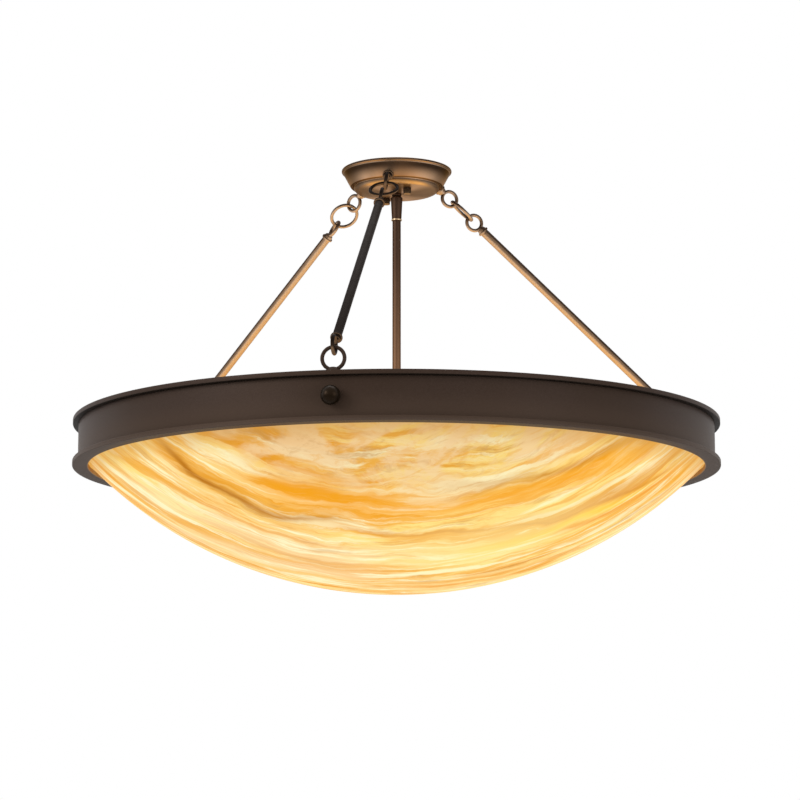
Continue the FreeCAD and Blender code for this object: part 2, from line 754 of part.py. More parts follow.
def make_stem_ferrule():
    foot = "-swivel_cup_drop - swivel_cup_length - ferrule_height"
    ring = cylinder("ferrule_ring", "ferrule_radius", "ferrule_height", ("0", "0", foot))
    hole = cylinder("ferrule_hole", "stem_radius", "ferrule_height", ("0", "0", foot))
    return cut("stem_ferrule", ring, hole)


STEM_TOP = "(swivel_cup_drop + swivel_cup_length - swivel_seat_depth)"


def make_stem():
    length = f"hub_drop + stem_end - {STEM_TOP}"
    tube = cylinder("stem_tube_bar", "stem_radius", length, ("0", "0", "-hub_drop - stem_end"))
    bore = cylinder("stem_tube_bore", "stem_bore", length, ("0", "0", "-hub_drop - stem_end"))
    return cut("stem_tube", tube, bore)


def make_wires():
    """The lead wires inside the stem, as one straight bundle."""
    return cylinder("stem_wires", "wires_radius", f"hub_drop - {STEM_TOP}", ("0", "0", "-hub_drop"))


def hub_outline():
    return [
        ("hub_neck_radius", "-hub_drop"),
        ("hub_radius", "-hub_drop - hub_shoulder"),
        ("hub_radius", "-hub_drop - hub_height"),
    ]


def holder_placement(angle):
    """Where a lampholder's line leaves the stem's axis, tilted up."""
    tilt = math.radians(value("holder_tilt"))
    level = outward(angle)
    direction = level * math.cos(tilt) + UP * math.sin(tilt)
    drop = value("hub_drop + holder_wall_drop + hub_radius * tan(holder_tilt)")
    return facing(UP * -drop, direction, UP.cross(level))


def make_hub():
    shell = lathe("hub_shell", hub_outline() + [
        ("hub_radius - hub_wall", "-hub_drop - hub_height"),
        ("hub_radius - hub_wall", "-hub_drop - hub_shoulder - hub_wall"),
        ("hub_neck_radius", "-hub_drop - 1.5 * hub_wall"),
        ("hub_neck_radius", "-hub_drop - stem_end"),
        ("stem_radius", "-hub_drop - stem_end"),
        ("stem_radius", "-hub_drop"),
    ])
    holes = []
    for number, angle in enumerate(LAMP_ANGLES, start=1):
        hole = cylinder(f"hub_hole_{number}", "holder_nipple_radius", "hub_radius",
                        ("0", "0", "hub_radius / 2"))
        holes.append(move(hole, holder_placement(angle)))
    return cut("cluster_hub", shell, fuse("hub_holes", holes))


def make_cap():
    foot = "-hub_drop - hub_height - cap_thickness"
    disc = cylinder("cap_disc", "hub_radius", "cap_thickness", ("0", "0", foot))
    hole = cylinder("cap_hole", "stem_bore", "cap_thickness", ("0", "0", foot))
    return cut("cluster_cap", disc, hole)


def make_finial():
    """The turned nut that closes the cluster, on a stud that reaches up into the stem."""
    seat = "(-hub_drop - hub_height - cap_thickness)"
    top = "(-hub_drop - stem_end / 2)"
    return lathe("cluster_finial", [
        ("0", f"{seat} - finial_height"),
        ("finial_radius / 2", f"{seat} - 0.85 * finial_height"),
        ("finial_radius", f"{seat} - 0.5 * finial_height"),
        ("finial_radius / 2", f"{seat} - 0.2 * finial_height"),
        ("finial_radius", seat),
        ("stem_bore", seat),
        ("stem_bore", top),
        ("0", top),
    ])


# Places along a lampholder's line, from the stem's axis outwards.
HOLDER_WALL = "(hub_radius / cos(holder_tilt))"
HOLDER_MOUTH = f"({HOLDER_WALL} + holder_length)"
LAMP_FOOT = f"({HOLDER_MOUTH} - lamp_base_length + free_gap)"


def make_holder(number, blank):
    """A lampholder shaped to the side of the hub, on a short nipple through its wall."""
    name = f"lampholder_{number}"
    place = holder_placement(LAMP_ANGLES[number - 1])
    sleeve = cylinder(name + "_sleeve", "holder_radius", f"{HOLDER_MOUTH} - 0.8 * hub_radius",
                      ("0", "0", "0.8 * hub_radius"))
    shaped = cut(name + "_shaped", move(sleeve, place), blank)
    nipple = cylinder(name + "_nipple", "holder_nipple_radius", "hub_radius / 2",
                      ("0", "0", f"{HOLDER_WALL} - hub_radius / 3"))
    socket = cylinder(name + "_socket", "lamp_base_radius + screw_gap", "holder_length",
                      ("0", "0", f"{LAMP_FOOT} - free_gap"))
    return cut(name, fuse(name + "_solid", [shaped, move(nipple, place)]), move(socket, place))


def make_lamp(number):
    """A pear shaped lamp with its screw base, lying in its holder."""
    name = f"lamp_{number}"
    centre = "(lamp_length - lamp_bulb_radius)"
    shoulder = 55
    lamp = lathe(name, [
        ("0", "0"),
        ("lamp_base_radius / 3", "0"),
        ("lamp_base_radius", "lamp_base_radius / 3"),
        ("lamp_base_radius", "lamp_base_length"),
        ("lamp_neck_radius", "lamp_base_length + screw_gap"),
        (f"lamp_bulb_radius * sin({shoulder})", f"{centre} - lamp_bulb_radius * cos({shoulder})"),
        ("0", "lamp_length"),
    ], domes=(5,))
    place = holder_placement(LAMP_ANGLES[number - 1])
    foot = FreeCAD.Placement(UP * value(LAMP_FOOT), FreeCAD.Rotation())
    return move(lamp, place.multiply(foot))


def make_light():
    """Every piece of the light, from the ceiling down."""
    blank = lathe("canopy_blank", canopy_outline() + [("0", "0")], domes=(5,), rounds=(0, 4))
    lining = lathe("canopy_hollow", canopy_lining() + [("0", "0")], domes=(0,), rounds=(1,))
    hub_blank = lathe("hub_blank", hub_outline() + [("0", "-hub_drop - hub_height"), ("0", "-hub_drop")])
    seat_ring = flange("seat_ring", "ring_top_drop + ring_height - flange_thickness")
    pieces = [make_box_strap(), make_canopy_strap(), make_eyelet(), make_ground_screw()]
    pieces += [make_canopy_screws(), make_canopy(), make_saddle_washers(lining), make_loop_nuts()]
    pieces += [make_thumb_nut(1), make_thumb_nut(2)]
    pieces += [make_stem_nipple(), make_stem_locknut(), make_swivel_ball(), make_swivel_cup()]
    pieces += [make_stem_ferrule(), make_stem(), make_wires(), make_hub(), make_cap(), make_finial()]
    pieces += [make_top_ring(), make_band(), seat_ring, make_bowl(), make_knob_studs()]
    for leg in range(3):
        pieces += [make_canopy_loop(leg, blank), make_link(leg), make_rod(leg), make_eye(leg)]
        pieces += [make_block(leg), make_ball_knob(leg)]
        top, foot = f"rod_top_loop_{leg + 1}", f"rod_foot_loop_{leg + 1}"
        pieces.append(make_rod_loop(top, leg, ROD_TOP_PLACE, ROD_LOOP_SPINS[leg], False))
        pieces.append(make_rod_loop(foot, leg, ROD_FOOT_PLACE, 0, True))
    for number in range(1, len(LAMP_ANGLES) + 1):
        pieces += [make_holder(number, hub_blank), make_lamp(number)]
    return pieces


light = make_light()
doc.recompute()
for feature in doc.Objects:
    if "Invalid" in feature.State or "Error" in feature.State:
        raise RuntimeError(f"{feature.Label} did not rebuild")
os.makedirs("parts", exist_ok=True)
for piece in light:
    if piece.Shape.isNull() or not piece.Shape.isValid():
        raise RuntimeError(f"{piece.Label} has no sound shape")
    piece.Shape.exportStep(f"parts/{piece.Label}.step")
    print(f"{piece.Label}: {len(piece.Shape.Solids)} solid, {piece.Shape.Volume:.0f} mm3")
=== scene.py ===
import json
import math
import bmesh
import bpy
from mathutils import Matrix, Vector


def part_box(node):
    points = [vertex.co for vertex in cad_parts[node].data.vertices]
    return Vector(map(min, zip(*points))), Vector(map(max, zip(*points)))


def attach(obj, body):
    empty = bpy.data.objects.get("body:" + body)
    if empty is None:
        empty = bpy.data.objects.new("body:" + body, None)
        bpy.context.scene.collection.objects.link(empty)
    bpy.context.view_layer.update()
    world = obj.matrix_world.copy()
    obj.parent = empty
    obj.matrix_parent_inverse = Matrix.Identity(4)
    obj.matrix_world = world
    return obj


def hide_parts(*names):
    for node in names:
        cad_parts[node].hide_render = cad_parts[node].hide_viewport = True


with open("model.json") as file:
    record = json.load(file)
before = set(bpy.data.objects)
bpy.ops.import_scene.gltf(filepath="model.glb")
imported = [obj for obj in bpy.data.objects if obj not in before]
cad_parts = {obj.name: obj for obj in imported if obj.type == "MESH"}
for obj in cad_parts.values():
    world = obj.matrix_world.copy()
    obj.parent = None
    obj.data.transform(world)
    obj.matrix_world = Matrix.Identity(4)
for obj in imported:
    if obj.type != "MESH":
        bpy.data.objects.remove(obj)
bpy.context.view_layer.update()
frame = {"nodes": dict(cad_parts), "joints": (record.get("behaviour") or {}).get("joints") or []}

# The ring: two rolled flange rings welded to a flat band, dark bronze powder coat over steel. Its heights are
# read from the solids, and its edges are eased as a coated edge is.
MM = 0.001
UP = Vector((0, 0, 1))
TURN_STEPS = 288
RING_RADIUS = 457.2 * MM
RING_BORE = 435.1 * MM
BAND_RADIUS = 449.3 * MM
BAND_THICKNESS = 3.2 * MM
BAND_FOOT, BAND_TOP = (corner.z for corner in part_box("band"))
FLANGE_EASE = 0.7 * MM
BAND_EASE = 0.2 * MM
SHARP_EDGE = math.radians(40)
ON_AXIS = 1e-9
COAT_DARK = (0.031, 0.0185, 0.0140)
COAT_LIGHT = (0.063, 0.0425, 0.0335)
COAT_BROWN = (0.036, 0.0205, 0.0120)
BOWL_GLOW_PAINT = (0.090, 0.058, 0.040)
SEAT_FOOT_TONE = (0.105, 0.078, 0.062)
EDGE_LIT = (0.44, 0.26, 0.110)
FLANGE_SHADOW_PAINT = (0.010, 0.0075, 0.0055)


class Signal:
    """The output of a node, which can be written in sums."""

    def __init__(self, tree, socket):
        self.tree = tree
        self.socket = socket

    def maths(self, operation, *terms):
        return self.tree.node("ShaderNodeMath", {"operation": operation}, *terms)

    def __add__(self, other):
        return self.maths("ADD", self, other)

    def __sub__(self, other):
        return self.maths("SUBTRACT", self, other)

    def __rsub__(self, other):
        return self.maths("SUBTRACT", other, self)

    def __mul__(self, other):
        return self.maths("MULTIPLY", self, other)

    __radd__ = __add__
    __rmul__ = __mul__

    def __abs__(self):
        return self.maths("ABSOLUTE", self)

    def tinted(self, tint):
        """A colour multiplied by another."""
        return self.tree.mix(1.0, self, tint, "MULTIPLY")

    def step(self, low, high, top=1.0):
        """0 below low, top above high, smooth between."""
        settings = {"interpolation_type": "SMOOTHSTEP"}
        return self.tree.node("ShaderNodeMapRange", settings, self, low, high, 0.0, top)

    def hump(self, width):
        """1 where the signal is 0, fading to 0 at plus and minus width."""
        return 1 - abs(self).step(0.0, width)


class Tree:
    """A tree of nodes, whose sockets are fed values or the signals of other nodes."""

    def __init__(self, tree):
        self.tree = tree

    def node(self, kind, settings, *values, out=0, **named):
        made = self.tree.nodes.new(kind)
        for key, setting in settings.items():
            setattr(made, key, setting)
        for index, given in enumerate(values):
            self.feed(made.inputs[index], given)
        for name, given in named.items():
            self.feed(made.inputs[name.replace("_", " ")], given)
        return Signal(self, made.outputs[out])

    def feed(self, socket, given):
        if isinstance(given, Signal):
            self.tree.links.new(given.socket, socket)
        else:
            socket.default_value = given


class Finish(Tree):
    """A material round one Principled shader, patterned on the piece's own coordinates."""

    def __init__(self, name, **constants):
        self.material = bpy.data.materials.new(name)
        self.material.use_nodes = True
        super().__init__(self.material.node_tree)
        self.shader = self.tree.nodes["Principled BSDF"]
        self.place = self.node("ShaderNodeTexCoord", {}, out="Object")
        self.surface(**constants)

    def surface(self, **inputs):
        for name, given in inputs.items():
            self.feed(self.shader.inputs[name.replace("_", " ")], given)

    def bump(self, height, strength, distance):
        settings = {"Strength": strength, "Distance": distance, "Height": height}
        self.surface(Normal=self.node("ShaderNodeBump", {}, out="Normal", **settings))

    def mix(self, factor, first, second, blend="MIX"):
        mixed = self.node("ShaderNodeMix", {"data_type": "RGBA", "blend_type": blend}, factor, out=2)
        for index, given in ((6, first), (7, second)):
            self.feed(mixed.socket.node.inputs[index], (*given, 1) if isinstance(given, tuple) else given)
        return mixed

    def layered(self, tone, *layers):
        """A colour with others laid over it in turn, each through its own mask."""
        for mask, tint in layers:
            tone = self.mix(mask, tone, tint)
        return tone

    def noise(self, scale, detail=3.0, roughness=0.5, distortion=0.0, stretch=(1, 1, 1)):
        """Noise between 0 and 1, with scale in grains a metre."""
        place = self.node("ShaderNodeMapping", {}, self.place, Scale=stretch)
        return self.node("ShaderNodeTexNoise", {}, out="Fac", Vector=place, Scale=scale, Detail=detail,
                         Roughness=roughness, Distortion=distortion)

    def part_of(self, vector, axis):
        return self.node("ShaderNodeSeparateXYZ", {}, vector, out=axis)

    def height(self):
        return self.part_of(self.place, "Z")

    def flat_place(self):
        """The place on the piece with its height left out."""
        return self.node("ShaderNodeVectorMath", {"operation": "MULTIPLY"}, self.place, (1, 1, 0))

    def length(self, vector):
        return self.node("ShaderNodeVectorMath", {"operation": "LENGTH"}, vector, out="Value")


def ease(profile, radius, steps=3, closed=True):
    """Round the corners of a profile of radius and height, leaving those on the axis."""
    eased = []
    count = len(profile)
    for index, corner in enumerate(profile):
        ends = index in (0, count - 1) and not closed
        if corner[0] < ON_AXIS or ends:
            eased.append(corner)
            continue
        here = Vector(corner)
        before = Vector(profile[index - 1]) - here
        after = Vector(profile[(index + 1) % count]) - here
        room = 0.45 * min(before.length, after.length)
        start = here + before.normalized() * min(radius, room)
        end = here + after.normalized() * min(radius, room)
        for step in range(steps + 1):
            share = step / steps
            point = start * (1 - share) ** 2 + here * 2 * share * (1 - share) + end * share ** 2
            eased.append((point.x, point.y))
    return eased


def finish_mesh(name, mesh, place=Matrix()):
    """Keep a bmesh as an object at the origin, smooth but for its sharp edges."""
    data = bpy.data.meshes.new(name)
    mesh.to_mesh(data)
    mesh.free()
    data.transform(place)
    data.polygons.foreach_set("use_smooth", [True] * len(data.polygons))
    data.set_sharp_from_angle(angle=SHARP_EDGE)
    piece = bpy.data.objects.new(name, data)
    bpy.context.scene.collection.objects.link(piece)
    return piece


def turned(name, profile, steps=96, place=Matrix()):
    """A mesh turned about Z from a closed profile, which may run down the axis."""
    mesh = bmesh.new()
    angles = [math.tau * step / steps for step in range(steps)]
    rings = []
    for radius, height in profile:
        if radius < ON_AXIS:
            rings.append([mesh.verts.new((0, 0, height))])
        else:
            rings.append([mesh.verts.new((radius * math.cos(angle), radius * math.sin(angle), height))
                          for angle in angles])
    for first, second in zip(rings, rings[1:] + rings[:1]):
        if len(first) == 1 and len(second) == 1:
            continue
        for step in range(steps):
            following = (step + 1) % steps
            corners = [first[step % len(first)], first[following % len(first)],
                       second[following % len(second)], second[step % len(second)]]
            mesh.faces.new(list(dict.fromkeys(corners)))
    bmesh.ops.recalc_face_normals(mesh, faces=mesh.faces)
    return finish_mesh(name, mesh, place)


def dress(piece, finish, body, node):
    """Give a piece its finish, the body it rides on and the solid that it stands for."""
    piece.data.materials.clear()
    piece.data.materials.append(finish.material)
    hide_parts(node)
    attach(piece, body)


def ring_section(node, inner, outer):
    """The four corners of a plain ring's section, with its heights read from its solid."""
    low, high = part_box(node)
    return [(inner, low.z), (outer, low.z), (outer, high.z), (inner, high.z)]


bronze = Finish("bronze_powder_coat", Specular_IOR_Level=0.16, Specular_Tint=(1, 0.72, 0.58, 1))
grain = bronze.noise(1500, 2)
patch = bronze.noise(4, 2)
height = bronze.height()
under_flange_shadow = (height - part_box("top_ring")[0].z).hump(1.3 * MM)
near_foot = (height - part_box("seat_ring")[0].z).hump(5 * MM)
near_bore = (bronze.length(bronze.flat_place()) - RING_BORE).hump(1.8 * MM)
bronze_tone = bronze.layered(
    COAT_DARK,
    (grain.step(0.35, 0.70), COAT_LIGHT),
    (patch.step(0.38, 0.62) * 0.55, COAT_BROWN),
    # painted light: the lit bowl's glow, lighter towards the band's foot
    (height.step(BAND_TOP - 15 * MM, BAND_FOOT) * 0.45, BOWL_GLOW_PAINT),
    # lighter at the seat ring's foot
    (near_foot * 0.40, SEAT_FOOT_TONE),
    (near_bore * 0.90, EDGE_LIT),
    # painted shadow line under the top flange
    (under_flange_shadow * 0.85, FLANGE_SHADOW_PAINT))
bronze.surface(Base_Color=bronze_tone, Roughness=0.42 + 0.16 * grain)
bronze.bump(grain, 0.35, 0.12 * MM)

for node in ("top_ring", "seat_ring"):
    plate = turned(node + "_plate", ease(ring_section(node, RING_BORE, RING_RADIUS), FLANGE_EASE), TURN_STEPS)
    dress(plate, bronze, "ring", node)
hoop = ease(ring_section("band", BAND_RADIUS - BAND_THICKNESS, BAND_RADIUS), BAND_EASE)
dress(turned("band_hoop", hoop, TURN_STEPS), bronze, "ring", "band")

# The bowl: one sheet of streaky art glass, slumped into a mould. Cream and white glass is combed with gold,
# orange and brown, so its streaks run side by side across the bowl. The lamps inside light it through.
BOWL_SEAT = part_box("seat_ring")[1].z
BOWL_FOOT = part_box("glass_bowl")[0].z
BOWL_WALL = 5 * MM
BOWL_MOUTH = 434.4 * MM
BOWL_LIP = 444.5 * MM
BOWL_RINGS = 72
STREAK_AZIMUTH = math.radians(10.4)
PEACH = (0.985, 0.63, 0.225)
HONEY = (1.0, 0.73, 0.225)
GOLD = (0.87, 0.375, 0.018)
ORANGE = (0.83, 0.325, 0.004)
CREAM = (1.0, 0.93, 0.58)
RUST = (0.76, 0.34, 0.020)
STRAW = (1.0, 0.91, 0.54)
BROWN = (0.56, 0.235, 0.035)
MILKY = (0.965, 0.705, 0.385)
SMOKE = (0.68, 0.40, 0.165)
AMBER = (0.87, 0.42, 0.060)
# The next two are painted light: a yellow hot spot where the lamps shine through, and amber where the light
# dims towards the rim.
PAINTED_GLOW_YELLOW = (1.0, 0.84, 0.36)
PAINTED_RIM_AMBER = (0.66, 0.345, 0.080)
UNLIT = (0.20, 0.18, 0.14)

# Each ribbon of coloured glass: where its middle runs, from left to right as it is seen (a list of places
# across and towards the back, in metres), its width, its strength and its colour.
RIBBONS = [
    ([(-0.38, -0.140), (-0.25, -0.175), (-0.10, -0.185), (0.02, -0.190)], 0.060, 0.50, (1.00, 0.87, 0.56)),
    ([(-0.34, -0.060), (-0.20, -0.095), (-0.10, -0.110), (0.00, -0.115)], 0.050, 0.45, (1.00, 0.88, 0.58)),
    ([(0.22, -0.235), (0.30, -0.210), (0.38, -0.190), (0.46, -0.170)], 0.032, 0.50, (0.86, 0.38, 0.040)),
    ([(0.16, -0.150), (0.26, -0.125), (0.36, -0.100), (0.46, -0.080)], 0.038, 0.42, (0.96, 0.47, 0.040)),
    ([(-0.34, -0.305), (-0.26, -0.274), (-0.17, -0.264), (-0.05, -0.283)], 0.028, 0.80, (0.76, 0.34, 0.035)),
    ([(-0.33, -0.300), (-0.25, -0.269), (-0.17, -0.263), (-0.07, -0.280)], 0.012, 0.88, (0.44, 0.145, 0.004)),
    ([(-0.10, -0.262), (0.10, -0.246), (0.25, -0.204), (0.40, -0.150)], 0.016, 0.85, (0.84, 0.33, 0.014)),
    ([(-0.06, -0.260), (0.10, -0.245), (0.25, -0.203), (0.40, -0.150)], 0.006, 0.60, (0.62, 0.220, 0.008)),
    ([(0.14, -0.252), (0.25, -0.212), (0.34, -0.190), (0.42, -0.165)], 0.026, 0.60, (0.70, 0.33, 0.075)),
    ([(-0.20, -0.322), (0.02, -0.316), (0.18, -0.300), (0.36, -0.268)], 0.040, 0.92, (0.90, 0.365, 0.008)),
    ([(0.05, -0.345), (0.15, -0.330), (0.28, -0.300), (0.38, -0.250)], 0.012, 0.60, (0.58, 0.24, 0.030)),
    ([(0.20, -0.172), (0.30, -0.150), (0.38, -0.137), (0.44, -0.120)], 0.015, 0.90, (0.86, 0.31, 0.012)),
    ([(0.08, -0.190), (0.16, -0.186), (0.24, -0.186), (0.34, -0.160)], 0.022, 0.90, (1.00, 0.62, 0.030)),
    ([(-0.10, -0.085), (0.04, -0.075), (0.16, -0.070), (0.32, -0.030)], 0.016, 0.60, (0.88, 0.46, 0.110)),
    ([(-0.42, -0.110), (-0.30, -0.075), (-0.18, -0.070), (-0.06, -0.085)], 0.014, 0.50, (0.95, 0.58, 0.130)),
    ([(-0.36, 0.110), (-0.12, 0.085), (0.14, 0.120), (0.40, 0.095)], 0.026, 0.65, (0.84, 0.40, 0.090)),
    ([(-0.32, 0.225), (-0.08, 0.250), (0.16, 0.215), (0.36, 0.240)], 0.010, 0.70, (0.42, 0.16, 0.020)),
    ([(-0.26, 0.320), (-0.06, 0.300), (0.10, 0.325), (0.28, 0.310)], 0.028, 0.55, (0.90, 0.50, 0.130)),
]


def arc(centre, radius, first, last, steps):
    """Points of radius and height round a centre, between two angles counted up from level."""
    angles = [first + (last - first) * step / steps for step in range(steps + 1)]
    return [(centre[0] + radius * math.cos(angle), centre[1] + radius * math.sin(angle)) for angle in angles]


def dish(mouth, edge, foot, steps):
    """Points of a dished sheet, from its foot on the axis out to its edge."""
    depth = edge - foot
    radius = (mouth ** 2 + depth ** 2) / (2 * depth)
    return arc((0, foot + radius), radius, -math.pi / 2, math.asin(mouth / radius) - math.pi / 2, steps)


outside = dish(BOWL_MOUTH, BOWL_SEAT, BOWL_FOOT, BOWL_RINGS)
inside = dish(BOWL_MOUTH - BOWL_WALL, BOWL_SEAT + BOWL_WALL, BOWL_FOOT + BOWL_WALL, BOWL_RINGS)
lip = [(BOWL_LIP, BOWL_SEAT), (BOWL_LIP, BOWL_SEAT + BOWL_WALL)]
glass_bowl = turned("art_glass_bowl", outside + lip + inside[::-1], TURN_STEPS)

glass = Finish("streaky_art_glass", Roughness=0.35, Specular_IOR_Level=0.02, Emission_Strength=1.0)
streak_place = glass.node("ShaderNodeMapping", {}, glass.place, Rotation=(0, 0, -STREAK_AZIMUTH))
across, back = glass.part_of(streak_place, "X"), glass.part_of(streak_place, "Y")
drift = glass.noise(3.2, 2, stretch=(1, 1.6, 0))
swirl = glass.noise(12, 3, stretch=(1, 1.8, 0))
curl = glass.noise(34, 3, 0.6, 0.5, stretch=(1, 1.8, 0))
combed = back + (drift - 0.5) * 0.060 + (swirl - 0.5) * 0.026 + (curl - 0.5) * 0.010


def flow(scale_across, scale_back, seed, detail, roughness=0.55, distortion=0.0):
    """Noise drawn out along the streaks, read where the combing has carried the glass."""
    place = glass.node("ShaderNodeCombineXYZ", {}, across * scale_across, combed * scale_back, seed)
    return glass.node("ShaderNodeTexNoise", {}, out="Fac", Vector=place, Scale=1.0, Detail=detail,
                      Roughness=roughness, Distortion=distortion)


clouds = flow(3.0, 9, 1.0, 3)
bands = flow(3.2, 22, 4.0, 5, 0.6, 0.3)
streaks = flow(4.4, 40, 7.0, 6, 0.62, 0.4)
threads = flow(9.0, 120, 11.0, 4, 0.60, 0.3)
browns = flow(5.0, 40, 17.0, 6, 0.66, 0.5)
glass_tone = glass.layered(
    PEACH,
    (clouds.step(0.40, 0.60), HONEY),
    (bands.step(0.49, 0.57) * 0.72, GOLD),
    (streaks.step(0.52, 0.62) * 0.74, ORANGE),
    (streaks.step(0.49, 0.38) * 0.92, CREAM),
    (threads.step(0.53, 0.63) * 0.34, RUST),
    (threads.step(0.47, 0.37) * 0.34, STRAW),
    (browns.step(0.56, 0.68) * 0.55, BROWN))

ragged = (0.5 * threads + 0.5 * streaks).step(0.36, 0.60)
for path, width, strength, tint in RIBBONS:
    left, right = path[0][0], path[-1][0]
    off_middle = combed - path[0][1]
    for (start, here), (end, there) in zip(path, path[1:]):
        off_middle = off_middle - across.step(start, end, there - here)
    faded_ends = across.step(left - 0.03, left + 0.06) * across.step(right + 0.03, right - 0.08)
    mask = off_middle.hump(width) * faded_ends * (0.55 + 0.45 * ragged) * strength
    glass_tone = glass.mix(mask, glass_tone, tint)

whorls = glass.noise(8.0, 5, 0.6, 1.2, stretch=(1, 1.7, 0))
wisps = glass.noise(21, 5, 0.68, 1.4, stretch=(1, 2.4, 0))
cloudy = back.step(-0.31, -0.37) * 0.85
glass_tone = glass.layered(
    glass_tone,
    (cloudy * whorls.step(0.40, 0.58), MILKY),
    (cloudy * wisps.step(0.52, 0.68) * 0.50, SMOKE),
    (cloudy * wisps.step(0.46, 0.34) * 0.45, AMBER))

# The lamps' light through the glass, painted as the glass's own glow and into its colour: brightest right of
# the middle, dimmer towards the front, dimmer and warmer towards the rim.
LAMP_GLOW = (0.13, -0.20)
GLOW_SPREAD = 0.55
LIGHT_NEAR = (0.93, 0.93, 0.93)
LIGHT_FAR = (0.90, 0.90, 0.90)
LIGHT_FRONT = (0.79, 0.77, 0.76)
from_glow = glass.length(glass.node("ShaderNodeCombineXYZ", {}, (across - LAMP_GLOW[0]) * GLOW_SPREAD,
                                    back - LAMP_GLOW[1], 0.0))
out_from_foot = glass.length(glass.flat_place())
glass_tone = glass.layered(
    glass_tone,
    (from_glow.step(0.13, 0.0) * 0.50, PAINTED_GLOW_YELLOW),
    (out_from_foot.step(0.400, 0.434) * 0.60, PAINTED_RIM_AMBER))
lamp_light = glass.layered(
    LIGHT_NEAR,
    (from_glow.step(0.05, 0.34), LIGHT_FAR),
    (back.step(-0.28, -0.40), LIGHT_FRONT))
glass.surface(Base_Color=glass_tone.tinted(UNLIT), Emission_Color=glass_tone.tinted(lamp_light))
glass.bump(streaks, 0.12, 0.5 * MM)
dress(glass_bowl, glass, "ring", "glass_bowl")

# The legs: each is a loop on the canopy, a link ring and a round rod with a loop screwed into each end, of
# brass with an antique copper finish, painted bright below and dark on top as painted light and shade. The
# front leg's copy of the finish is painted nearly black, as painted shade. Rings are bent from round wire.
LOOP_RADIUS = 11.4 * MM
LOOP_WIRE = 2.5 * MM
LINK_RADIUS = 19.1 * MM
LINK_WIRE = 2.4 * MM
PLAY = 0.5 * MM
ROD_RADIUS = 6 * MM
STALK_BITE = 0.4 * LOOP_WIRE
STALK_TIP = 2.2 * MM
NECK_RADIUS = 4 * MM
COLLAR_START = 13 * MM
COLLAR_RADIUS = 6.8 * MM
LIP_START = 17.2 * MM
LIP_RADIUS = 8 * MM
LIP_HEIGHT = 2.6 * MM
CANOPY_LIP_HEIGHT = 3.6 * MM
SHANK_RADIUS = 3 * MM
SHANK_LENGTH = 12 * MM
CANOPY_SHANK_LENGTH = 9 * MM
# How far the rings of each leg are turned about it, in degrees.
CANOPY_LOOP_SPINS = {1: 12, 2: 5, 3: 0}
LINK_SPINS = {1: 90, 2: 106, 3: 108}
ROD_LOOP_SPINS = {1: -12, 2: 0, 3: 38}
HOOK = LOOP_WIRE + LINK_WIRE + PLAY
LINK_PLACE = LOOP_RADIUS + LINK_RADIUS - HOOK
ROD_TOP_PLACE = LINK_PLACE + LINK_RADIUS + LOOP_RADIUS - HOOK
PIVOT_PLACE = LOOP_RADIUS - LOOP_WIRE - PLAY / 2
EYE_RADIUS = 14.5 * MM
EYE_WIRE = 2.5 * MM
EYE_PLACE = 443.4 * MM


class Shape(Tree):
    """A geometry tree with named sizes, which ends in real pieces of one material."""

    def __init__(self, name, *sizes):
        super().__init__(bpy.data.node_groups.new(name, "GeometryNodeTree"))
        sockets = self.tree.interface
        sockets.new_socket("Geometry", in_out="OUTPUT", socket_type="NodeSocketGeometry")
        for size in sizes:
            sockets.new_socket(size, in_out="INPUT", socket_type="NodeSocketFloat")
        sockets.new_socket("Material", in_out="INPUT", socket_type="NodeSocketMaterial")

    def given(self, name):
        return self.node("NodeGroupInput", {}, out=name)

    def end(self, geometry):
        real = self.node("GeometryNodeRealizeInstances", {}, Geometry=geometry)
        coated = self.node("GeometryNodeSetMaterial", {}, Geometry=real, Material=self.given("Material"))
        self.feed(self.tree.nodes.new("NodeGroupOutput").inputs["Geometry"], coated)

    def grown(self, name, place=Matrix(), **settings):
        """What the tree makes, baked into a plain mesh at its place."""
        holder = bpy.data.objects.new(name + "_holder", bpy.data.meshes.new(name + "_empty"))
        bpy.context.scene.collection.objects.link(holder)
        modifier = holder.modifiers.new("shape", "NODES")
        modifier.node_group = self.tree
        for socket in self.tree.interface.items_tree:
            if socket.in_out == "INPUT":
                modifier[socket.identifier] = settings[socket.name.replace(" ", "_")]
        evaluated = holder.evaluated_get(bpy.context.evaluated_depsgraph_get())
        data = bpy.data.meshes.new_from_object(evaluated)
        bpy.data.objects.remove(holder)
        data.transform(place)
        data.name = name
        piece = bpy.data.objects.new(name, data)
        bpy.context.scene.collection.objects.link(piece)
        return piece


def joined(name, *pieces):
    """Several meshes kept as one piece."""
    mesh = bmesh.new()
    for piece in pieces:
        mesh.from_mesh(piece.data)
        bpy.data.objects.remove(piece)
    return finish_mesh(name, mesh)


def facing(foot, direction, sideways, spin=0.0):
    """A place whose Z runs along a direction and whose Y starts sideways, turned about Z by degrees."""
    turn = Matrix([sideways.cross(direction), sideways, direction]).transposed().to_4x4()
    return Matrix.Translation(foot) @ turn @ Matrix.Rotation(math.radians(spin), 4, "Z")


def antique_with_painted_light(name, under, side, upper, **constants):
    """An antique finish with painted light and shade: bright where it faces down, brown at its sides, dark on
    top.
    """
    finish = Finish(name, **constants)
    clouds = finish.noise(35, 3)
    rubbing = finish.noise(260, 2)
    upward = finish.part_of(finish.node("ShaderNodeTexCoord", {}, out="Normal"), "Z")
    shade_lean = upward + 0.20 * (clouds - 0.5) + 0.06 * (rubbing - 0.5)
    tone = finish.layered(under, (shade_lean.step(-0.52, -0.16), side), (shade_lean.step(-0.14, 0.30), upper))
    finish.surface(Base_Color=tone, Roughness=0.42 + 0.12 * clouds + 0.06 * rubbing)
    finish.bump(rubbing, 0.06, 0.05 * MM)
    return finish


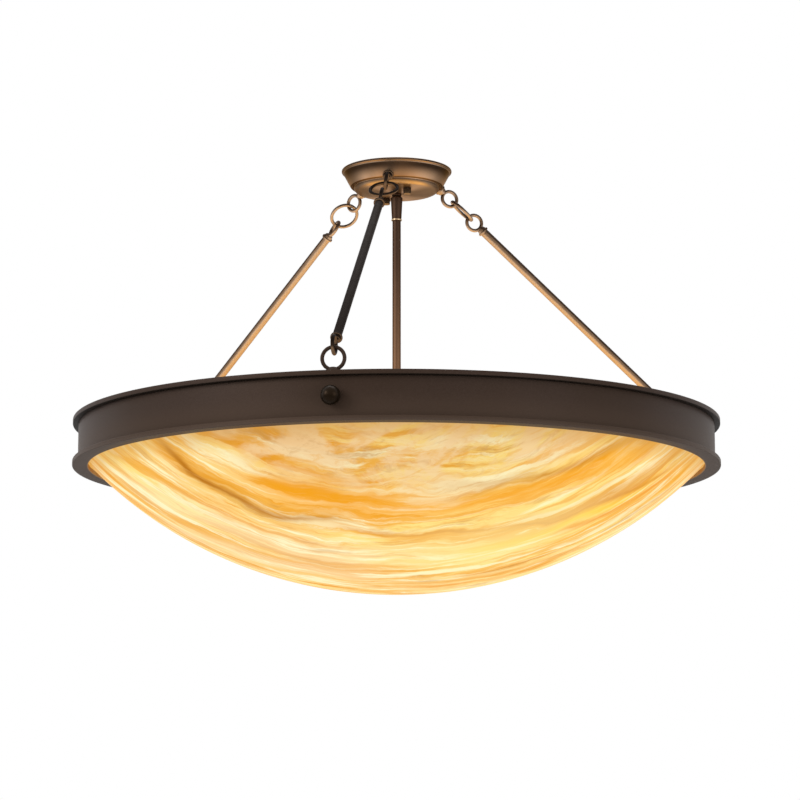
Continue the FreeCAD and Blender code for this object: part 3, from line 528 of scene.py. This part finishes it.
def loop_stalk(name, lip_height, shank_length):
    """Neck, flared collar, lip and plain shank of a loop, along +Z from the wire of its ring."""
    wire = LOOP_RADIUS - STALK_BITE
    lip_end = LIP_START + lip_height
    shank_end = lip_end + shank_length
    profile = [(0, wire), (STALK_TIP, wire), (NECK_RADIUS, LOOP_RADIUS + STALK_BITE),
               (NECK_RADIUS, COLLAR_START), ((NECK_RADIUS + COLLAR_RADIUS) / 2, COLLAR_START),
               (COLLAR_RADIUS, LIP_START), (LIP_RADIUS, LIP_START), (LIP_RADIUS, lip_end),
               (SHANK_RADIUS, lip_end), (SHANK_RADIUS, shank_end), (0, shank_end)]
    return turned(name, ease(profile, 0.7 * MM, 4, closed=False), 64)


def loop(name, finish, place, lip_height=LIP_HEIGHT, shank_length=SHANK_LENGTH):
    """A loop: its ring, and the stalk that screws into what holds it."""
    ring = wire_ring.grown(name + "_ring", Ring_Radius=LOOP_RADIUS, Wire_Radius=LOOP_WIRE,
                           Material=finish.material)
    piece = joined(name, ring, loop_stalk(name + "_stalk", lip_height, shank_length))
    piece.data.transform(place)
    return piece


wire_ring = Shape("wire_ring", "Ring Radius", "Wire Radius")
bend = wire_ring.node("GeometryNodeCurvePrimitiveCircle", {}, Resolution=96,
                      Radius=wire_ring.given("Ring Radius"))
wire = wire_ring.node("GeometryNodeCurvePrimitiveCircle", {}, Resolution=24,
                      Radius=wire_ring.given("Wire Radius"))
swept = wire_ring.node("GeometryNodeCurveToMesh", {}, Curve=bend, Profile_Curve=wire)
stood = wire_ring.node("GeometryNodeTransform", {}, Geometry=swept, Rotation=(math.pi / 2, 0, 0))
wire_ring.end(wire_ring.node("GeometryNodeSetShadeSmooth", {}, Geometry=stood))

# The copper is painted bright below and dark on top as painted light and shade; the front leg's copy is
# painted nearly black as painted shade.
copper = antique_with_painted_light("antique_copper", (0.82, 0.62, 0.46), (0.20, 0.125, 0.075), (0.028, 0.016, 0.009),
                 Metallic=0.6, Specular_Tint=(0.6, 0.45, 0.35, 1))
dark = antique_with_painted_light("darkened_copper", (0.25, 0.155, 0.090), (0.030, 0.019, 0.013), (0.009, 0.0055, 0.0038),
               Specular_IOR_Level=0.04, Specular_Tint=(0.90, 0.55, 0.38, 1))
LEGS = {1: (dark, "dark_rod"), 2: (copper, "antique_copper"), 3: (copper, "antique_copper")}
joints = {joint["name"]: joint for joint in frame["joints"]}

for number, (finish, slot) in LEGS.items():
    body = f"leg_{number}"
    swing = joints[f"leg_{number}_swing"]
    pivot, swing_axis = Vector(swing["pos_m"]), Vector(swing["axis"]).normalized()
    level_out = Vector((pivot.x, pivot.y, 0)).normalized()
    sideways = UP.cross(level_out)
    down = sideways.cross(swing_axis)
    hang = pivot - down * PIVOT_PLACE
    eye_pull = level_out * EYE_PLACE + UP * (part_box("top_ring")[1].z + 2 * EYE_RADIUS + EYE_WIRE)
    rod_foot_place = (eye_pull - hang).length - (LOOP_RADIUS - LOOP_WIRE - EYE_WIRE - PLAY)
    rod_start = ROD_TOP_PLACE + LIP_START + LIP_HEIGHT
    rod_length = rod_foot_place - LIP_START - LIP_HEIGHT - rod_start

    canopy_loop = loop(f"canopy_loop_{number}_piece", finish,
                       facing(hang, -down, sideways, CANOPY_LOOP_SPINS[number]),
                       CANOPY_LIP_HEIGHT, CANOPY_SHANK_LENGTH)
    dress(canopy_loop, finish, "canopy_group", f"canopy_loop_{number}")
    link = wire_ring.grown(f"link_ring_{number}",
                           facing(hang + down * LINK_PLACE, down, sideways, LINK_SPINS[number]),
                           Ring_Radius=LINK_RADIUS, Wire_Radius=LINK_WIRE, Material=finish.material)
    dress(link, finish, body, f"link_{number}")
    top = loop(f"rod_{number}_upper_loop", finish,
               facing(hang + down * ROD_TOP_PLACE, down, sideways, ROD_LOOP_SPINS[number]))
    dress(top, finish, body, f"rod_top_loop_{number}")
    foot = loop(f"rod_{number}_lower_loop", finish, facing(hang + down * rod_foot_place, -down, sideways))
    dress(foot, finish, body, f"rod_foot_loop_{number}")
    profile = [(SHANK_RADIUS, 0), (ROD_RADIUS, 0), (ROD_RADIUS, rod_length), (SHANK_RADIUS, rod_length)]
    rod = turned(f"rod_{number}_tube", ease(profile, 0.5 * MM), 64,
                 facing(hang + down * rod_start, down, sideways))
    dress(rod, finish, body, f"rod_{number}")

# The eyes and ball knobs: cast eyes screwed through the top flange into blocks behind the band, and turned
# balls on studs that hold those blocks to the band. Both are coated, the knobs nearly black.
EYE_SHANK_RADIUS = 2.5 * MM
EYE_SHANK_LENGTH = 18 * MM
KNOB_RADIUS = 12.7 * MM
KNOB_FLAT = math.radians(62)
KNOB_BORE = 3.05 * MM
KNOB_BORE_DEPTH = 12 * MM
KNOB_GAP = 0.3 * MM


def millimetres(*points, above=0.0):
    """Points of radius and height in millimetres, counted from a height in metres."""
    return [(radius * MM, above + height * MM) for radius, height in points]


coated_black = Finish("knob_coat", Specular_IOR_Level=0.20, Specular_Tint=(0.70, 0.44, 0.28, 1))
knob_grain = coated_black.noise(1200, 2)
knob_tone = coated_black.mix(knob_grain, (0.005, 0.0030, 0.0015), (0.012, 0.0075, 0.0040))
coated_black.surface(Base_Color=knob_tone, Roughness=0.26 + 0.1 * knob_grain)

eye_stand = Matrix.Translation((0, 0, EYE_RADIUS + EYE_WIRE)) @ Matrix.Rotation(math.pi / 2, 4, "Z")
eye_shank = [(0, -EYE_SHANK_LENGTH), (EYE_SHANK_RADIUS, -EYE_SHANK_LENGTH), (EYE_SHANK_RADIUS, 0)]
eye_boss = eye_shank + millimetres((8, 0), (7.6, 2.2), (5.6, 4.2), (4.6, 5.5), (0, 5.5))
ball_centre = KNOB_RADIUS * math.sin(KNOB_FLAT)
ball = ([(0, KNOB_BORE_DEPTH), (KNOB_BORE, KNOB_BORE_DEPTH), (KNOB_BORE, 0)]
        + arc((0, ball_centre), KNOB_RADIUS, -KNOB_FLAT, math.pi / 2, 40))

for number in LEGS:
    knob_joint = joints[f"knob_{number}_turn"]
    level_out = Vector(knob_joint["axis"]).normalized()
    sideways = UP.cross(level_out)
    eye_ring = wire_ring.grown(f"eye_{number}_ring", eye_stand, Ring_Radius=EYE_RADIUS, Wire_Radius=EYE_WIRE,
                               Material=bronze.material)
    boss = turned(f"eye_{number}_boss", ease(eye_boss, 0.6 * MM, closed=False), 64)
    eye = joined(f"ring_eye_{number}_casting", eye_ring, boss)
    eye.data.transform(facing(level_out * EYE_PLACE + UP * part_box("top_ring")[1].z, UP, sideways))
    dress(eye, bronze, "ring", f"ring_eye_{number}")

    knob_foot = level_out * (BAND_RADIUS + KNOB_GAP) + UP * knob_joint["pos_m"][2]
    knob = turned(f"ball_knob_{number}_ball", ball, place=facing(knob_foot, level_out, sideways))
    dress(knob, coated_black, f"knob_{number}", f"ball_knob_{number}")

# The canopy: a spun steel dish with a rolled rim, a conical wall, a shallow groove at the shoulder and a
# domed face. Its copper finish is painted light on the face and low on the wall and painted shade under the
# rim, and carries a painted sheen and painted shade at its flanks and front.
CANOPY_RADIUS = 79.4 * MM
CANOPY_BEAD = 2.1 * MM
CANOPY_WALL = 1.5 * MM
LINING_RADIUS = CANOPY_RADIUS - CANOPY_BEAD - CANOPY_WALL
DISH_EDGE = (62.5 * MM, -25.0 * MM)
FACE_EDGE = (53 * MM, -32.6 * MM)
FACE_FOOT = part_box("canopy")[0].z
SHADE_AZIMUTH = math.radians(10.4)
UNDER_RIM_SHADE = (0.050, 0.029, 0.018)
WALL_LIT_COPPER = (0.94, 0.60, 0.37)
BEAD_HIGHLIGHT = (0.66, 0.46, 0.31)
RIM_SHADE = (0.020, 0.012, 0.008)
GROOVE_SHADE = (0.045, 0.024, 0.012)
SHOULDER_BROWN = (0.12, 0.070, 0.038)
FACE_LIT_COPPER = (0.94, 0.68, 0.48)
FACE_MIDDLE = (0.88, 0.62, 0.46)
BLOTCH_BROWN = (0.19, 0.11, 0.063)
SHEEN_BROWN = (0.100, 0.060, 0.038)
FLANK_SHADE_PAINT = (0.070, 0.040, 0.024)
FRONT_SHADE_PAINT = (0.160, 0.100, 0.062)


def rounded(start, end, steps=10):
    """Points of an arc down from start to end, level where it ends."""
    reach, fall = start[0] - end[0], start[1] - end[1]
    radius = (reach ** 2 + fall ** 2) / (2 * fall)
    first = math.asin((radius - fall) / radius)
    return arc((end[0], end[1] + radius), radius, -first, -math.pi / 2, steps)


def domed(edge, foot):
    """Points of the domed face, from just inside its edge to the axis."""
    return dish(*edge, foot, 20)[-2::-1]


rim = arc((CANOPY_RADIUS - CANOPY_BEAD, -CANOPY_BEAD), CANOPY_BEAD, math.pi / 2, -math.pi / 2, 12)
groove = [rim[-1]] + millimetres((66.5, -24.4), (64.0, -25.75)) + [DISH_EDGE]
groove = ease(groove, 1.0 * MM, 4, closed=False)[1:-1]
lining_dish = (DISH_EDGE[0] - CANOPY_WALL, DISH_EDGE[1] + CANOPY_WALL)
lining_face = (FACE_EDGE[0], FACE_EDGE[1] + CANOPY_WALL)
lining = rounded(lining_dish, lining_face) + domed(lining_face, FACE_FOOT + CANOPY_WALL)
lining = lining[::-1] + millimetres((65.3, -22.9)) + [(LINING_RADIUS, -2 * CANOPY_BEAD), (LINING_RADIUS, 0)]
face = rounded(DISH_EDGE, FACE_EDGE) + domed(FACE_EDGE, FACE_FOOT)
canopy = turned("spun_canopy", rim + groove + face + lining, 192)

spun = Finish("spun_copper", Metallic=1.0, Specular_Tint=(0.74, 0.56, 0.42, 1))
height = spun.height()
blotches = spun.noise(30, 4, 0.6)
fine = spun.noise(1500, 2)
round_axis = spun.node("ShaderNodeVectorMath", {"operation": "NORMALIZE"}, spun.flat_place(), out="Vector")
sheen = spun.node("ShaderNodeTexNoise", {}, out="Fac", Vector=round_axis, Scale=1.7, Detail=0.0)
shade_place = spun.node("ShaderNodeMapping", {}, round_axis, Rotation=(0, 0, -SHADE_AZIMUTH))
to_side = abs(spun.part_of(shade_place, "X"))
spun_tone = spun.layered(
    # painted shade under the rim
    UNDER_RIM_SHADE,
    # painted light low on the wall
    (height.step(-8 * MM, -24 * MM), WALL_LIT_COPPER),
    # painted highlight on the bead's lower half
    (height.step(-5.9 * MM, -4.9 * MM), BEAD_HIGHLIGHT),
    # painted shade on the top of the bead
    (height.step(-3.4 * MM, -2.6 * MM), RIM_SHADE),
    # painted shade in the groove
    ((height + 24.9 * MM).hump(1.2 * MM) * 0.92, GROOVE_SHADE),
    # darker brown just below the groove
    (height.step(-25.8 * MM, -26.4 * MM), SHOULDER_BROWN),
    # painted light on the face
    (height.step(-25.6 * MM, -31.5 * MM), FACE_LIT_COPPER),
    # a little darker in the face's middle
    (height.step(-32.2 * MM, -34.3 * MM) * 0.8, FACE_MIDDLE),
    (blotches.step(0.35, 0.75) * 0.18, BLOTCH_BROWN),
    # painted sheen round the axis
    (sheen.step(0.58, 0.30) * 0.20, SHEEN_BROWN),
    # painted shade at the flanks, as seen from the 10.4° azimuth
    (to_side.step(0.62, 0.95) * 0.62, FLANK_SHADE_PAINT),
    # painted shade at the front and back
    (to_side.step(0.42, 0.05) * 0.42, FRONT_SHADE_PAINT))
spun.surface(Base_Color=spun_tone, Roughness=0.32 + 0.10 * blotches)
spun.bump(fine, 0.10, 0.05 * MM)
dress(canopy, spun, "canopy_group", "canopy")

# Hidden hardware: zinc plated straps, screws, washers and nuts inside the canopy, tapped blocks and studs
# behind the band, the green ground screw and the lead wires. These solids keep their own shapes.
zinc = Finish("zinc_plate", Metallic=1.0)
spangle = zinc.noise(160, 3, 0.6)
scratches = zinc.noise(700, 2, stretch=(1, 0.1, 1))
zinc_tone = zinc.mix(spangle, (0.42, 0.42, 0.41), (0.66, 0.66, 0.63))
zinc.surface(Base_Color=zinc_tone, Roughness=0.28 + 0.2 * scratches)
zinc.bump(scratches, 0.12, 0.04 * MM)
green = Finish("green_ground_screw", Metallic=0.7)
wear = green.noise(500, 3)
green_tone = green.mix(wear.step(0.5, 0.8), (0.03, 0.22, 0.08), (0.16, 0.42, 0.20))
green.surface(Base_Color=green_tone, Roughness=0.35 + 0.2 * wear)
lead = Finish("wire_insulation", Roughness=0.45)
rib = lead.noise(400, 2, stretch=(1, 1, 0.1))
lead.surface(Base_Color=lead.mix(rib, (0.02, 0.02, 0.02), (0.05, 0.05, 0.05)))
ZINC_PLATED = ["box_strap", "canopy_strap", "strap_eyelet", "canopy_screws", "saddle_washers",
               "canopy_loop_nuts", "stem_nipple", "stem_locknut", "knob_studs", "hanger_block_1",
               "hanger_block_2", "hanger_block_3"]
for node, finish in [(node, zinc) for node in ZINC_PLATED] + [("ground_screw", green), ("stem_wires", lead)]:
    solid = frame["nodes"][node]
    solid.data.materials.clear()
    solid.data.materials.append(finish.material)

# The thumb nuts: two knurled brass barrels under the canopy, turned up their screws by hand. Ridges of the
# straight knurl stand round each barrel.
NUT_RADIUS = 5.75 * MM
NUT_FLANK = NUT_RADIUS - 0.35 * MM
NUT_CHAMFER = 0.6 * MM
NUT_BORE = 2.1 * MM
NUT_CAP = 1.4 * MM
RIDGE_RADIUS = 0.36 * MM
RIDGE_CIRCLE = NUT_RADIUS - 0.4 * MM
RIDGE_HEIGHT = 5.6 * MM
# Aged brass, painted light where it faces down and painted shade on its top.
brass = antique_with_painted_light("aged_brass", (0.50, 0.34, 0.20), (0.055, 0.035, 0.020), (0.035, 0.022, 0.014),
                Metallic=0.6, Specular_Tint=(0.5, 0.4, 0.3, 1))

knurl = Shape("straight_knurl", "Circle Radius", "Ridge Radius", "Ridge Height")
circle = knurl.node("GeometryNodeMeshCircle", {}, Vertices=36, Radius=knurl.given("Circle Radius"))
ridge = knurl.node("GeometryNodeMeshCone", {}, Vertices=8, Radius_Top=knurl.given("Ridge Radius"),
                   Radius_Bottom=knurl.given("Ridge Radius"), Depth=knurl.given("Ridge Height"))
knurl.end(knurl.node("GeometryNodeInstanceOnPoints", {}, Points=circle, Instance=ridge))

for letter, number in (("a", 1), ("b", 2)):
    low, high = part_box(f"thumb_nut_{number}")
    middle = (low + high) / 2
    profile = [(0, low.z), (NUT_FLANK - NUT_CHAMFER, low.z), (NUT_FLANK, low.z + NUT_CHAMFER),
               (NUT_FLANK, high.z - NUT_CHAMFER), (NUT_FLANK - NUT_CHAMFER, high.z), (NUT_BORE, high.z),
               (NUT_BORE, low.z + NUT_CAP), (0, low.z + NUT_CAP)]
    barrel = turned(f"nut_{letter}_barrel", ease(profile, 0.25 * MM, closed=False), 64,
                    Matrix.Translation((middle.x, middle.y, 0)))
    ridges = knurl.grown(f"nut_{letter}_ridges", Matrix.Translation(middle), Circle_Radius=RIDGE_CIRCLE,
                         Ridge_Radius=RIDGE_RADIUS, Ridge_Height=RIDGE_HEIGHT, Material=brass.material)
    dress(joined(f"knurled_nut_{letter}", barrel, ridges), brass, f"thumb_nut_{letter}",
          f"thumb_nut_{number}")

# The stem: a hang straight swivel, whose tapered cup hangs on a ball, a brass ferrule at its foot and one
# round tube down to the lamps.
BALL_RADIUS = 6.2 * MM
WIRE_WAY = 2 * MM
SWIVEL_BORE = 3.25 * MM
SWIVEL_COLLAR = 6.9 * MM
SWIVEL_NECK = 3.5 * MM
CUP_SEAT = 6.25 * MM
CUP_MOUTH = 4.4 * MM
TUBE_RADIUS = 6 * MM
TUBE_BORE = 4.2 * MM
TUBE_SOCKET = 16 * MM
FERRULE_RADIUS = 7.6 * MM
stem_brown = Finish("browned_copper", Metallic=1.0, Specular_Tint=(0.4, 0.3, 0.22, 1))
drawn = stem_brown.noise(260, 3, stretch=(1, 1, 0.02))
stem_tone = stem_brown.layered(
    (0.060, 0.034, 0.022),
    # darker at the top of the stem, lighter towards its foot
    (stem_brown.height().step(-0.10, -0.36), (0.19, 0.100, 0.054)),
    (drawn.step(0.40, 0.70) * 0.25, (0.17, 0.105, 0.066)))
stem_brown.surface(Base_Color=stem_tone, Roughness=0.46 + 0.10 * drawn)
gilt = Finish("gilt_lip", Metallic=1.0)
worn = gilt.noise(400, 3)
gilt.surface(Base_Color=gilt.mix(worn, (0.34, 0.235, 0.135), (0.62, 0.47, 0.30)), Roughness=0.28 + 0.1 * worn)

ball_drop = joints["swivel_turn"]["pos_m"][2]
swivel_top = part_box("swivel_ball")[1].z
neck_top = swivel_top - 3.2 * MM
bore_end = swivel_top - 3.3 * MM
swivel = [(SWIVEL_BORE, swivel_top), (SWIVEL_COLLAR, swivel_top), (SWIVEL_COLLAR, neck_top),
          (SWIVEL_NECK, neck_top)]
swivel = ease(swivel, 0.5 * MM)[:-1]
swivel += arc((0, ball_drop), BALL_RADIUS, math.radians(56), math.radians(-70), 24)
swivel += [(WIRE_WAY, ball_drop - 5.8 * MM), (WIRE_WAY, bore_end), (SWIVEL_BORE, bore_end)]
dress(turned("swivel_ball_and_collar", swivel, 72), stem_brown, "swivel", "swivel_ball")

cup_low, cup_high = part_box("swivel_cup")
socket_top = cup_low.z + TUBE_SOCKET
cup = millimetres((6.0, 0), (6.9, 0), above=cup_low.z) + millimetres((8.5, -1.5), (7.75, 0), above=cup_high.z)
cup = ease(cup + [(CUP_MOUTH, cup_high.z)], 0.5 * MM, closed=False)
cup += arc((0, ball_drop), CUP_SEAT, math.acos(CUP_MOUTH / CUP_SEAT), 0, 12)
cup += [(CUP_SEAT, socket_top), (TUBE_RADIUS, socket_top)]
dress(turned("tapered_cup", cup), stem_brown, "stem", "swivel_cup")

ferrule = turned("ferrule_ring", ease(ring_section("stem_ferrule", TUBE_RADIUS, FERRULE_RADIUS), 0.8 * MM, 5))
dress(ferrule, gilt, "stem", "stem_ferrule")
pipe = turned("stem_pipe", ease(ring_section("stem_tube", TUBE_BORE, TUBE_RADIUS), 0.3 * MM), 72)
dress(pipe, stem_brown, "stem", "stem_tube")

# The lamp cluster: a white enamelled hub with its cap and finial, four porcelain lampholders tilted up, and
# four lit opal lamps.
HUB_RADIUS = 30 * MM
HUB_WALL = 2.5 * MM
HUB_NECK = 10 * MM
HOLDER_TILT = math.radians(25)
HOLDER_BORE = 13.3 * MM
WALL_PLACE = HUB_RADIUS / math.cos(HOLDER_TILT)
HOLDER_MOUTH = WALL_PLACE + 42 * MM
SOCKET_FLOOR = HOLDER_MOUTH - 26 * MM
LAMP_FOOT = SOCKET_FLOOR + 0.3 * MM
GLOBE_RADIUS = 30 * MM
GLOBE_PLACE = 79 * MM
GLOBE_SHOULDER = math.radians(55)
LAMP_NECK = (14 * MM, 26.1 * MM)
NECK_STEPS = 8
enamel = Finish("white_enamel", Coat_Weight=0.4, Coat_Roughness=0.15)
orange_peel = enamel.noise(600, 2)
enamel_tone = enamel.mix(orange_peel, (0.72, 0.69, 0.62), (0.78, 0.75, 0.69))
enamel.surface(Base_Color=enamel_tone, Roughness=0.32 + 0.1 * orange_peel)
enamel.bump(orange_peel, 0.08, 0.05 * MM)
porcelain = Finish("glazed_porcelain", Coat_Weight=0.7, Coat_Roughness=0.08, Roughness=0.3)
glaze = porcelain.noise(180, 3)
porcelain.surface(Base_Color=porcelain.mix(glaze, (0.74, 0.71, 0.63), (0.80, 0.78, 0.72)))
opal = Finish("lit_opal_glass", Roughness=0.25, Emission_Strength=1.0)
haze = opal.noise(60, 3)
opal.surface(Base_Color=opal.mix(haze, (0.30, 0.27, 0.22), (0.34, 0.31, 0.27)),
             Emission_Color=opal.mix(haze, (0.95, 0.86, 0.68), (1.0, 0.93, 0.80)))

low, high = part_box("cluster_hub")
neck_foot = high.z - TUBE_SOCKET
hub = [(TUBE_RADIUS, high.z), (HUB_NECK, high.z), (HUB_RADIUS, high.z - 6 * MM), (HUB_RADIUS, low.z),
       (HUB_RADIUS - HUB_WALL, low.z), (HUB_RADIUS - HUB_WALL, high.z - 8.5 * MM),
       (HUB_NECK, high.z - 3.75 * MM), (HUB_NECK, neck_foot), (TUBE_RADIUS, neck_foot)]
dress(turned("hub_housing", ease(hub, 0.9 * MM), 128), enamel, "stem", "cluster_hub")
cap = turned("hub_cap", ease(ring_section("cluster_cap", TUBE_BORE, HUB_RADIUS), 0.8 * MM), 128)
dress(cap, enamel, "stem", "cluster_cap")
finial_low, finial_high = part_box("cluster_finial")
cap_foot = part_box("cluster_cap")[0].z
finial_outline = [(0, finial_low.z)]
finial_outline += millimetres((4, -13.6), (8, -8), (4, -3.2), (8, 0), above=cap_foot)
finial_outline += [(TUBE_BORE, cap_foot), (TUBE_BORE, finial_high.z), (0, finial_high.z)]
finial = turned("finial_knob", ease(finial_outline, 1.2 * MM, 4, closed=False), 72)
dress(finial, copper, "stem", "cluster_finial")

holder_outline = [(0, WALL_PLACE - 10 * MM)]
holder_outline += millimetres((5, -10), (5, 3), (15, 7.2), above=WALL_PLACE)
holder_outline += millimetres((15, -4), (14.6, -3.4), (15, -2.8), (15, 0), above=HOLDER_MOUTH)
holder_outline += [(HOLDER_BORE, HOLDER_MOUTH), (HOLDER_BORE, SOCKET_FLOOR), (0, SOCKET_FLOOR)]
globe = arc((0, GLOBE_PLACE), GLOBE_RADIUS, GLOBE_SHOULDER - math.pi / 2, math.pi / 2, 24)
reach, climb = globe[0][0] - LAMP_NECK[0], globe[0][1] - LAMP_NECK[1]
neck = [(LAMP_NECK[0] + reach * step / NECK_STEPS, LAMP_NECK[1] + climb * step / NECK_STEPS)
        for step in range(NECK_STEPS + 1)]
lamp_outline = millimetres((0, 0), (4.4, 0), (13.2, 4.4), (13.2, 26)) + [LAMP_NECK, *neck, *globe[1:]]
lamp_outline = [(radius, rise + LAMP_FOOT) for radius, rise in lamp_outline]
cluster_centre = UP * (high.z - 24 * MM - HUB_RADIUS * math.tan(HOLDER_TILT))
for number in range(1, 5):
    direction = Vector(joints[f"lamp_{number}_out"]["axis"]).normalized()
    level_out = Vector((direction.x, direction.y, 0)).normalized()
    place = facing(cluster_centre, direction, UP.cross(level_out))
    holder = turned(f"porcelain_holder_{number}", ease(holder_outline, 0.5 * MM, closed=False), place=place)
    dress(holder, porcelain, "stem", f"lampholder_{number}")
    bulb = turned(f"opal_lamp_{number}", lamp_outline, place=place)
    dress(bulb, opal, f"bulb_{number}", f"lamp_{number}")

# The studio: a pale floor well below, one broad light from the front left, a weaker one from the right and
# another from above, and a white surround that shows behind the light and in its metal.
FLOOR_DROP = 2.4
FLOOR_REACH = 40
LIT_MIDDLE = Vector((0, 0, -0.35))
SURROUND_LIGHT = 0.45
STUDIO_LAMPS = {"key": ((-2.6, -3.0, 0.9), 1.8, 62), "fill": ((3.0, -2.2, -0.2), 2.0, 26),
                "top": ((0.3, 1.0, 2.4), 2.5, 36)}
floor_mesh = bmesh.new()
bmesh.ops.create_grid(floor_mesh, x_segments=1, y_segments=1, size=FLOOR_REACH)
floor = finish_mesh("studio_floor", floor_mesh, Matrix.Translation((0, 0, -FLOOR_DROP)))
paint = Finish("pale_floor", Roughness=0.8)
paint.surface(Base_Color=paint.mix(paint.noise(3, 3), (0.88, 0.88, 0.88), (0.92, 0.92, 0.92)))
floor.data.materials.append(paint.material)

for name, (place, size, power) in STUDIO_LAMPS.items():
    lamp = bpy.data.lights.new(name, "AREA")
    lamp.shape = "SQUARE"
    lamp.size = size
    lamp.energy = power
    stand = bpy.data.objects.new(name, lamp)
    bpy.context.scene.collection.objects.link(stand)
    stand.location = place
    stand.rotation_euler = (Vector(place) - LIT_MIDDLE).to_track_quat("Z", "Y").to_euler()

world = bpy.data.worlds.new("white_surround")
bpy.context.scene.world = world
world.use_nodes = True
world.node_tree.nodes.clear()
surround = Tree(world.node_tree)
camera_ray, glossy_ray, clear_ray = (surround.node("ShaderNodeLightPath", {}, out=f"Is {kind} Ray")
                                     for kind in ("Camera", "Glossy", "Transmission"))
shown = surround.node("ShaderNodeMath", {"operation": "ADD", "use_clamp": True},
                      camera_ray + glossy_ray, clear_ray)
soft = surround.node("ShaderNodeBackground", {}, Color=(1, 1, 1, 1), Strength=SURROUND_LIGHT)
white = surround.node("ShaderNodeBackground", {}, Color=(1, 1, 1, 1), Strength=1.0)
either = surround.node("ShaderNodeMixShader", {}, shown, soft, white)
surround.feed(surround.tree.nodes.new("ShaderNodeOutputWorld").inputs["Surface"], either)
bpy.context.scene.view_settings.view_transform = "Standard"

lens = bpy.data.cameras.new("camera")
lens.sensor_width = 36
lens.lens = 122.44
camera = bpy.data.objects.new("camera", lens)
bpy.context.scene.collection.objects.link(camera)
camera.location = (0.690, -3.760, -0.9778)
camera.rotation_euler = (math.radians(99.531), 0, math.radians(10.326))
bpy.context.scene.camera = camera
